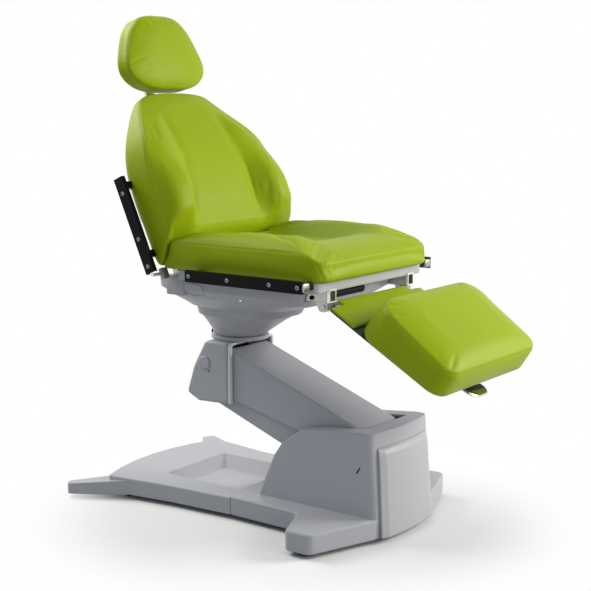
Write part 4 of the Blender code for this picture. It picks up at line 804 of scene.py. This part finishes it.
@dataclass
class Backrest:
    """The back's pad, its lip wrapped round the board, and its rails' screws.

    Pairs are spans over which a form sets in or fades, in shares of the height from the bottom;
    bolster_rise is in metres inside and outside the hollow's edge.
    """

    frame: dict
    lip: float = 0.008
    half: float = 0.2925
    low: float = 0.054
    high: float = 0.584
    centre_share: float = 0.45
    seam_side: float = 0.085
    seam_top: float = 0.03
    seam_top_span: Point2 = (0.62, 0.98)
    seam_foot: float = 0.073
    seam_foot_span: Point2 = (0.0, 0.17)
    face: float = 0.092
    top_thins: float = 0.044
    top_span: Point2 = (0.5, 1.0)
    foot_thins: float = 0.063
    foot_span: Point2 = (0.0, 0.165)
    hollow: float = 0.148
    hollow_narrows: float = 0.024
    hollow_span: Point2 = (0.15, 0.85)
    bolster: float = 0.055
    bolster_rise: Point2 = (0.008, 0.068)
    bolster_start: Point2 = (0.1, 0.26)
    bolster_loss: float = 0.74
    loss_span: Point2 = (0.34, 0.64)
    bolster_end: Point2 = (0.64, 0.94)
    crease: float = 0.006
    crease_width: float = 0.014
    crease_start: Point2 = (0.12, 0.25)
    crease_end: Point2 = (0.72, 0.92)
    face_power: float = 18.0
    shrink: float = 0.997
    screws: tuple[float, ...] = (0.06, 0.142, 0.282)
    shape: Points = (
        (0.0, 0.002), (0.35, 0.0), (0.8, 0.0), (0.945, 0.001), (0.988, 0.036), (1.0, 0.145),
        (1.0, 0.38), (0.974, 0.54), (0.916, 0.652), (0.825, 0.746), (0.699, 0.845),
        (0.57, 0.93), (0.448, 0.978), (0.238, 0.997), (0.0, 1.0))

    def up_share(self, b: float) -> float:
        """How far up a point lies, from 0 at the bottom to 1 at the top."""
        return (b - self.low) / (self.high - self.low)

    def crown(self, a: float, b: float) -> float:
        """The face's height: side bolsters round a hollowed middle that narrows upwards.

        Args:
            a: How far to the side.
            b: How far up.

        Returns:
            The height over the pad's back.
        """
        up = self.up_share(b)
        inner = self.hollow - self.hollow_narrows * ease(up, *self.hollow_span)
        inside, outside = self.bolster_rise
        across = ease(abs(a), inner - inside, inner + outside)
        fade = ((1 - self.bolster_loss * ease(up, *self.loss_span))
                * (1 - ease(up, *self.bolster_end)))
        crease = (self.crease * math.exp(-(((abs(a) - inner) / self.crease_width) ** 2))
                  * ease(up, *self.crease_start) * (1 - ease(up, *self.crease_end)))
        face = (self.face - self.top_thins * ease(up, *self.top_span)
                - self.foot_thins * (1 - ease(up, *self.foot_span)))
        bolster = self.bolster * across * fade * ease(up, *self.bolster_start)
        return self.lip + face + bolster - crease

    def edge(self, a: float, b: float) -> float:
        """The height of the edge seam, deep at the sides and shallow at the top and the foot.

        Args:
            a: How far to the side; not used.
            b: How far up.

        Returns:
            The height over the pad's back.
        """
        up = self.up_share(b)
        thin = (self.seam_side - self.seam_top) * ease(up, *self.seam_top_span)
        foot = self.seam_foot * (1 - ease(up, *self.seam_foot_span))
        return self.lip + self.seam_side - thin - foot

    def build(self) -> None:
        """Makes the pad and the rail screws."""
        height = self.high - self.low
        half = [(self.half * across, self.low + up * height) for across, up in self.shape]
        frame = joint_place(self.frame, "back_recline", BACK_TILT)
        place = frame @ Matrix.Translation((0.0, self.lip, 0.0)) @ UPRIGHT
        Pad("back_cushion", "back_pad", "back", smooth_loop(half),
            (0.0, self.low + self.centre_share * height), self.edge, self.crown, place,
            face_power=always(self.face_power), sides=FULL_SIDES, tuck=FULL_TUCK,
            shrink=self.shrink).build()
        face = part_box("back_rail_left")[1].x
        for side in Side:
            bm = bmesh.new()
            for up in self.screws:
                Fastener().add(bm, frame @ Vector((side.value * face, 0.0, up)), side.way)
            make_object(f"back_rail_screws_{side.word}", bm, "back", STEEL)


@dataclass
class Headrest:
    """The headrest's pad."""

    frame: dict
    tilt: float = math.radians(-15.9)
    ahead: float = 0.0568
    half: float = 0.173
    reach_up: float = 0.138
    reach_down: float = 0.099
    seam: float = 0.05
    thick: float = 0.076
    side_fall: float = 0.1
    voxel: float = 0.005
    shape: Points = (
        (0.0, -1.0), (0.405, -0.98), (0.74, -0.828), (0.96, -0.505), (1.0, -0.121),
        (0.879, 0.326), (0.728, 0.667), (0.509, 0.913), (0.26, 0.993), (0.0, 1.0))

    def crown(self, a: float, b: float) -> float:
        """The face's height: flat in the middle, falling away to the sides."""
        return self.thick * (1 - self.side_fall * (a / self.half) ** 2)

    def build(self) -> None:
        """Makes the pad."""
        half = [(self.half * a, (self.reach_up if b > 0 else self.reach_down) * b)
                for a, b in self.shape]
        place = (joint_place(self.frame, "headrest_tilt", self.tilt)
                 @ Matrix.Translation((0.0, -self.ahead, 0.0)) @ UPRIGHT)
        Pad("head_cushion", "head_pad", "headrest", smooth_loop(half),
            (0.0, (self.reach_up - self.reach_down) / 2), always(self.seam), self.crown, place,
            voxel=self.voxel, sides=HEAD_SIDES).build()


@dataclass
class Legrest:
    """The legrest's boxy calf pad and the thin apron behind it."""

    frame: dict
    tilt: float = math.radians(30.5)
    plate_top: float = 0.0141
    start: float = 0.118
    length: float = 0.424
    half: float = 0.252
    corner: float = 0.047
    rear_corner: float = 0.07
    seam: float = 0.08
    wedge: float = 0.032
    rise: float = 0.02
    bulge: float = 0.004
    rear_lean: float = 0.2
    tuck: float = 0.93
    face_power: float = 17.0
    apron_half: float = 0.236
    apron_rear: float = 0.024
    apron_under: float = 0.001
    apron_corners: tuple[float, ...] = (0.004, 0.008, 0.004, 0.006)
    tongue_half: float = 0.176
    tongue_rear: float = 0.003
    apron_thick: float = 0.013
    apron_seam: float = 0.6

    def edge(self, a: float, b: float) -> float:
        """The height of the calf pad's edge seam, lower at the front."""
        return self.seam + self.wedge * (b + self.length) / (self.length - self.start)

    def crown(self, a: float, b: float) -> float:
        """The calf pad's face."""
        bulge = self.bulge * math.cos(math.pi * a / (2 * self.half))
        return self.edge(a, b) + self.rise + bulge

    def lean(self, a: float, b: float) -> float:
        """How much the calf pad's rear face leans forward."""
        return self.rear_lean * ease(b, -(self.start + self.length) / 2, -self.start)

    def build(self) -> None:
        """Makes both pads."""
        place = (joint_place(self.frame, "legrest_angle", self.tilt)
                 @ Matrix.Translation((0.0, 0.0, self.plate_top)))
        outline = corner_loop([(self.half, -self.length, self.corner),
                               (self.half, -self.start, self.rear_corner)])
        Pad("calf_cushion", "leg_pad", "legrest", outline,
            (0.0, -(self.start + self.length) / 2), self.edge, self.crown, place, lean=self.lean,
            tuck=self.tuck, face_power=always(self.face_power), sides=CALF_SIDES).build()
        corners = ((self.apron_half, -self.start + self.apron_under),
                   (self.apron_half, -self.apron_rear), (self.tongue_half, -self.apron_rear),
                   (self.tongue_half, -self.tongue_rear))
        apron = [(*corner, radius) for corner, radius in zip(corners, self.apron_corners)]
        Pad("apron_cushion", "leg_thin_pad", "legrest", corner_loop(apron),
            (0.0, -(self.start + self.apron_rear) / 2),
            always(self.apron_seam * self.apron_thick), always(self.apron_thick), place,
            voxel=0.004, swell=0.002, settle=0.001, fill=0.9).build()


@dataclass
class Mouldings:
    """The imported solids' finishes."""

    frame: dict
    white: tuple[str, ...] = ("knuckle_rim",)
    painted: tuple[str, ...] = ("swivel_disc",)
    zinc: tuple[str, ...] = (
        "seat_tube_left", "seat_tube_right", "back_arm_left", "back_arm_right", "leg_hinge_pin",
        "back_hinge_pin", "leg_arm_left", "leg_arm_right")

    def build(self) -> None:
        """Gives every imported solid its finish."""
        subparts = self.frame["record"]["subparts"]
        finishes = {part["node"]: FINISH_OF[Slot(part["material_slot"])] for part in subparts}
        finishes |= dict.fromkeys(self.white, WHITE_EDGE)
        finishes |= dict.fromkeys(self.painted, PAINT)
        finishes |= dict.fromkeys(self.zinc, ZINC)
        for name, node in self.frame["nodes"].items():
            node.data.materials.clear()
            node.data.materials.append(finishes[name].material())


@dataclass(frozen=True)
class Block:
    """A small box with rounded edges, given by two corners."""

    name: str
    body: str
    finish: Finish
    low: Point3
    high: Point3
    soft: float
    segments: int = 3

    def build(self, side: Side | None = None, place: Matrix | None = None) -> None:
        """Makes the piece.

        Args:
            side: The side it is on, or none if it is in the middle.
            place: From its own axes to the row frame, if they differ.
        """
        low, high = Vector(self.low), Vector(self.high)
        if side:
            low.x *= side.value
            high.x *= side.value
        size = [abs(length) for length in high - low]
        spot = Matrix.Translation((low + high) / 2) @ Matrix.Diagonal((*size, 1.0))
        bm = bmesh.new()
        made = bmesh.ops.create_cube(bm, size=1.0, matrix=spot)
        edges = {edge for vert in made["verts"] for edge in vert.link_edges}
        bmesh.ops.bevel(bm, geom=list(edges), offset=self.soft, segments=self.segments,
                        profile=0.5, affect="EDGES")
        if place:
            bm.transform(place)
        name = f"{self.name}_{side.word}" if side else self.name
        make_object(name, bm, self.body, self.finish)


@dataclass
class Trim:
    """Fittings too small for the solids: cheeks, tube ends, brackets, bolts, pocket and screws,
    with dark pieces of painted shade in the tube ends' openings, the housing's slot and the
    knuckle's small hole, and partly at the back rail's foot.
    """

    frame: dict
    dressed: tuple[str, ...] = ("under_seat_cover", "front_housing", "knuckle_shell")
    hinge_cheek: Block = Block(
        "hinge_cheek", "seat", PAINT, (0.229, 0.234, 0.648), (0.254, 0.2985, 0.706), 0.005)
    # A thin dark plate of painted shade, standing for the dark inside of the open tube end.
    tube_hollow_shade: Block = Block("tube_hollow_shade", "seat", PLASTIC, (0.1878, -0.2432, 0.6718),
                               (0.2122, -0.2426, 0.6997), 0.0002)
    rail_bracket: Block = Block(
        "rail_bracket", "seat", ZINC, (0.2955, -0.243, 0.7075), (0.3262, -0.221, 0.7325), 0.005)
    back_blocks: tuple[Block, ...] = (
        Block("back_rail_bracket", "back", BRUSHED, (0.286, -0.005, 0.029),
              (0.3265, 0.005, 0.038), 0.002),
        # A dark block at the rail's foot: partly a small dark part, partly painted shade under the
        # cover.
        Block("back_rail_foot_and_shade", "back", STEEL, (0.26, -0.006, 0.018), (0.288, 0.006, 0.05),
              0.003))
    swivel_stop: Block = Block(
        "swivel_stop", "seat", BLACK, (-0.012, 0.312, 0.4935), (0.012, 0.333, 0.507), 0.002)
    tube_low: Point2 = (0.184, 0.668)
    tube_high: Point2 = (0.216, 0.7035)
    tube_rings: Points = ((0.0, -0.2412), (0.0, -0.249), (0.0035, -0.249), (0.0035, -0.2425))
    tube_bolt: Point3 = (0.2152, -0.191, 0.678)
    pocket_at: Point2 = (0.199, 0.667)
    pocket_half: Point2 = (0.0355, 0.018)
    pocket_power: float = 0.6
    pocket_rings: Points = (
        (1.08, -0.001), (1.02, 0.0022), (0.94, 0.0024), (0.86, 0.0006), (0.45, 0.0004))
    pocket_points: int = 36
    cover_screw: Point2 = (0.037, 0.6516)
    # Ends and half width of the housing's slot, which is drawn dark as painted shade of its
    # opening.
    slot_ends: Points = ((-0.306, 0.208), (-0.2965, 0.1935))
    slot_half: float = 0.0022
    slot_rings: Points = ((1.0, -0.0004), (1.0, 0.0004), (0.7, 0.0006))
    slot_points: int = 20
    # Where the knuckle's small hole is, drawn as a dark plug of painted shade.
    knuckle_screw: Point2 = (0.266, 0.4)
    look_from: float = 0.6
    look_near: float = 0.25

    def onto(self, tree: BVHTree, side: Side, y: float, z: float) -> Vector:
        """Where a level look from one side meets a surface, or the nearest point if it misses."""
        spot = tree.ray_cast(Vector((side.value * self.look_from, y, z)), -side.way)[0]
        return spot or tree.find_nearest(Vector((side.value * self.look_near, y, z)))[0]

    def seat_fittings(self, side: Side) -> None:
        """Makes the cheek over the back's hinge, the frame tube's end with a dark plate of painted
        shade in its opening, the tube's bolt, and a bracket.

        Args:
            side: The side they are on.
        """
        x = side.value
        self.hinge_cheek.build(side)
        rings = []
        for inset, y in self.tube_rings:
            a, low = (value + inset for value in self.tube_low)
            b, high = (value - inset for value in self.tube_high)
            rings.append([Vector((x * p, y, z))
                          for p, z in ((a, low), (b, low), (b, high), (a, high))])
        bm = bmesh.new()
        ring_mesh(bm, rings)
        make_object(f"tube_end_{side.word}", bm, "seat", BRUSHED)
        # The dark plate is painted shade in the tube's opening.
        self.tube_hollow_shade.build(side)
        across, along, up = self.tube_bolt
        bm = bmesh.new()
        spot = Vector((x * across, along, up))
        Fastener(radius=0.0065, height=0.005, socket=0.003).add(bm, spot, side.way)
        make_object(f"tube_bolt_{side.word}", bm, "seat", BLACK)
        self.rail_bracket.build(side)

    def cover_details(self, side: Side, cover: BVHTree) -> None:
        """Makes the hand pocket and the screw on the cover's side.

        Args:
            side: The side they are on.
            cover: The cover's surface.
        """
        y, z = self.pocket_at
        wide, tall = self.pocket_half
        rings = []
        for share, rise in self.pocket_rings:
            ring = []
            for t in around(self.pocket_points):
                c, s = math.cos(t), math.sin(t)
                a = math.copysign(abs(c) ** self.pocket_power, c) * wide * share
                b = math.copysign(abs(s) ** self.pocket_power, s) * tall * share
                ring.append(self.onto(cover, side, y + a, z + b) + side.way * rise)
            rings.append(ring)
        bm = bmesh.new()
        ring_mesh(bm, rings)
        make_object(f"cover_pocket_{side.word}", bm, "seat", PAINT)
        bm = bmesh.new()
        spot = self.onto(cover, side, *self.cover_screw)
        Fastener(radius=0.004, height=0.0018, socket=0.0018).add(bm, spot, side.way)
        make_object(f"cover_screw_{side.word}", bm, "seat", CHROME)

    def base_details(self, side: Side, housing: BVHTree, knuckle: BVHTree) -> None:
        """Makes the release slot in the housing's side and the small hole under the knuckle's cap,
        each drawn as a dark piece of painted shade.

        Args:
            side: The side they are on.
            housing: The front housing's surface.
            knuckle: The knuckle's surface.
        """
        # The slot is drawn as a slightly raised dark lozenge, painted shade of its opening.
        ends = [self.onto(housing, side, *end) for end in self.slot_ends]
        along = (ends[1] - ends[0]).normalized()
        across = side.way.cross(along)
        rings = []
        for grow, rise in self.slot_rings:
            ring = []
            for t in around(self.slot_points):
                end = ends[1] if math.cos(t) > 0 else ends[0]
                spoke = (along * math.cos(t) + across * math.sin(t)) * self.slot_half * grow
                ring.append(end + spoke + side.way * rise)
            rings.append(ring)
        bm = bmesh.new()
        ring_mesh(bm, rings)
        make_object(f"housing_slot_{side.word}", bm, "base", PLASTIC)
        # A dark plug of painted shade stands for the small hole.
        bm = bmesh.new()
        spot = self.onto(knuckle, side, *self.knuckle_screw)
        Fastener(radius=0.0026, height=0.0008, socket=0.0014).add(bm, spot, side.way)
        make_object(f"knuckle_screw_{side.word}", bm, "knuckle", PLASTIC)

    def build(self) -> None:
        """Makes all the fittings."""
        solids = [self.frame["nodes"][name] for name in self.dressed]
        cover, housing, knuckle = (surface(s.data, s.matrix_world) for s in solids)
        back = joint_place(self.frame, "back_recline", BACK_TILT)
        for side in Side:
            self.seat_fittings(side)
            self.cover_details(side, cover)
            self.base_details(side, housing, knuckle)
            for block in self.back_blocks:
                block.build(side, back)
        self.swivel_stop.build()


@dataclass(frozen=True)
class Lamp:
    """A square lamp, with its side in metres and its power in watts."""

    name: str
    spot: Point3
    size: float
    power: float
    aim: Point3 = (0.0, 0.0, 0.6)
    colour: Point3 = (1.0, 0.955, 0.89)

    def hang(self) -> None:
        """Hangs the lamp, facing its aim."""
        data = bpy.data.lights.new(self.name, "AREA")
        data.color = self.colour
        data.size = self.size
        data.energy = self.power
        made = link(self.name, data)
        made.location = self.spot
        way = Vector(self.aim) - Vector(self.spot)
        made.rotation_euler = way.to_track_quat("-Z", "Y").to_euler()


@dataclass
class Studio:
    """White floor, soft lamps and the camera."""

    camera_at: Point3 = (-2.987, -2.165, 1.212)
    yaw: float = 0.939
    pitch: float = 0.154
    lens: float = 78.09
    sensor: float = 36.0
    floor_half: float = 30.0
    floor_white: float = 0.94
    floor_bounce: float = 0.45
    shadow_reach: Point2 = (0.5, 0.85)
    room_light: float = 0.37
    room_colour: Point3 = (0.8, 0.89, 1.0)
    lamps: tuple[Lamp, ...] = (
        Lamp("key", (2.6, -3.1, 2.1), 1.8, 146.0),
        Lamp("rear", (-0.4, 2.4, 2.9), 2.2, 92.0),
        Lamp("front", (-0.6, -3.9, 1.6), 1.6, 30.0))

    def camera(self) -> None:
        """Stands the camera where the photograph was taken."""
        data = bpy.data.cameras.new("camera")
        data.sensor_width = self.sensor
        data.lens = self.lens
        made = link("camera", data)
        level = math.cos(self.pitch)
        way = Vector((math.sin(self.yaw) * level, math.cos(self.yaw) * level,
                      -math.sin(self.pitch)))
        made.location = self.camera_at
        made.rotation_euler = way.to_track_quat("-Z", "Y").to_euler()
        bpy.context.scene.camera = made

    def seen(self, tree: NodeTree) -> NodeSocket:
        """Tells what the camera, a mirror or glass shows from bounced light.

        Args:
            tree: The nodes to add to.

        Returns:
            A socket that is 1 for what is shown, and else 0.
        """
        rays = tree.add("ShaderNodeLightPath").outputs
        seen = rays["Is Camera Ray"]
        for name in ("Is Glossy Ray", "Is Transmission Ray"):
            seen = tree.add("ShaderNodeMath", seen, rays[name], operation="MAXIMUM").outputs[0]
        return seen

    def paper(self) -> Material:
        """The floor's material, which takes a shadow near the chair and glows white further out.

        Returns:
            The material.
        """
        made = bpy.data.materials.new("floor_paper")
        made.use_nodes = True
        nodes = made.node_tree.nodes
        tree = NodeTree(made.node_tree)
        seen = self.seen(tree)
        tone = tree.add("ShaderNodeMapRange", seen, To_Min=self.floor_bounce,
                        To_Max=self.floor_white)
        shader = nodes["Principled BSDF"]
        tree.fill(shader, Base_Color=tone.outputs["Result"], Roughness=0.9,
                  Specular_IOR_Level=0.1)
        spot = tree.add("ShaderNodeNewGeometry").outputs["Position"]
        away = tree.add("ShaderNodeVectorMath", spot, operation="LENGTH").outputs["Value"]
        near, far = self.shadow_reach
        fade = tree.add("ShaderNodeMapRange", away, interpolation_type="SMOOTHSTEP",
                        From_Min=near, From_Max=far).outputs["Result"]
        both = tree.add("ShaderNodeMath", fade, seen, operation="MULTIPLY").outputs[0]
        glow = tree.add("ShaderNodeEmission", Strength=1.0).outputs["Emission"]
        mix = tree.add("ShaderNodeMixShader", both, shader.outputs["BSDF"], glow)
        tree.fill(nodes["Material Output"], Surface=mix.outputs["Shader"])
        return made

    def floor(self) -> None:
        """Lays the white floor, which fades into the white room."""
        mesh = bpy.data.meshes.new("floor")
        half = self.floor_half
        corners = [(-half, -half, 0), (half, -half, 0), (half, half, 0), (-half, half, 0)]
        mesh.from_pydata(corners, [], [(0, 1, 2, 3)])
        made = link("floor", mesh)
        mesh.materials.append(self.paper())

    def sky(self) -> None:
        """Lights the room evenly, and shows white to the camera and in reflections."""
        world = bpy.data.worlds.new("room")
        bpy.context.scene.world = world
        world.use_nodes = True
        world.node_tree.nodes.clear()
        tree = NodeTree(world.node_tree)
        looks = ((self.room_light, self.room_colour), (1.0, (1.0, 1.0, 1.0)))
        shades = [tree.add("ShaderNodeBackground", Color=(*colour, 1.0), Strength=strength)
                  for strength, colour in looks]
        mix = tree.add("ShaderNodeMixShader", self.seen(tree),
                       *(shade.outputs[0] for shade in shades))
        tree.add("ShaderNodeOutputWorld", Surface=mix.outputs[0])

    def build(self) -> None:
        """Sets the whole studio up."""
        bpy.context.scene.view_settings.view_transform = "Standard"
        self.camera()
        self.floor()
        self.sky()
        for lamp in self.lamps:
            lamp.hang()


def main() -> None:
    """Builds the chair's looks in order."""
    logging.basicConfig(level=logging.INFO, format="%(name)s: %(message)s")
    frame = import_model()
    Studio().build()
    for kind in (Mouldings, Seat, Backrest, Headrest, Legrest, Trim):
        kind(frame).build()
        log.info("%s built", kind.__name__)
    bpy.context.view_layer.update()


if __name__ == "__main__":
    main()
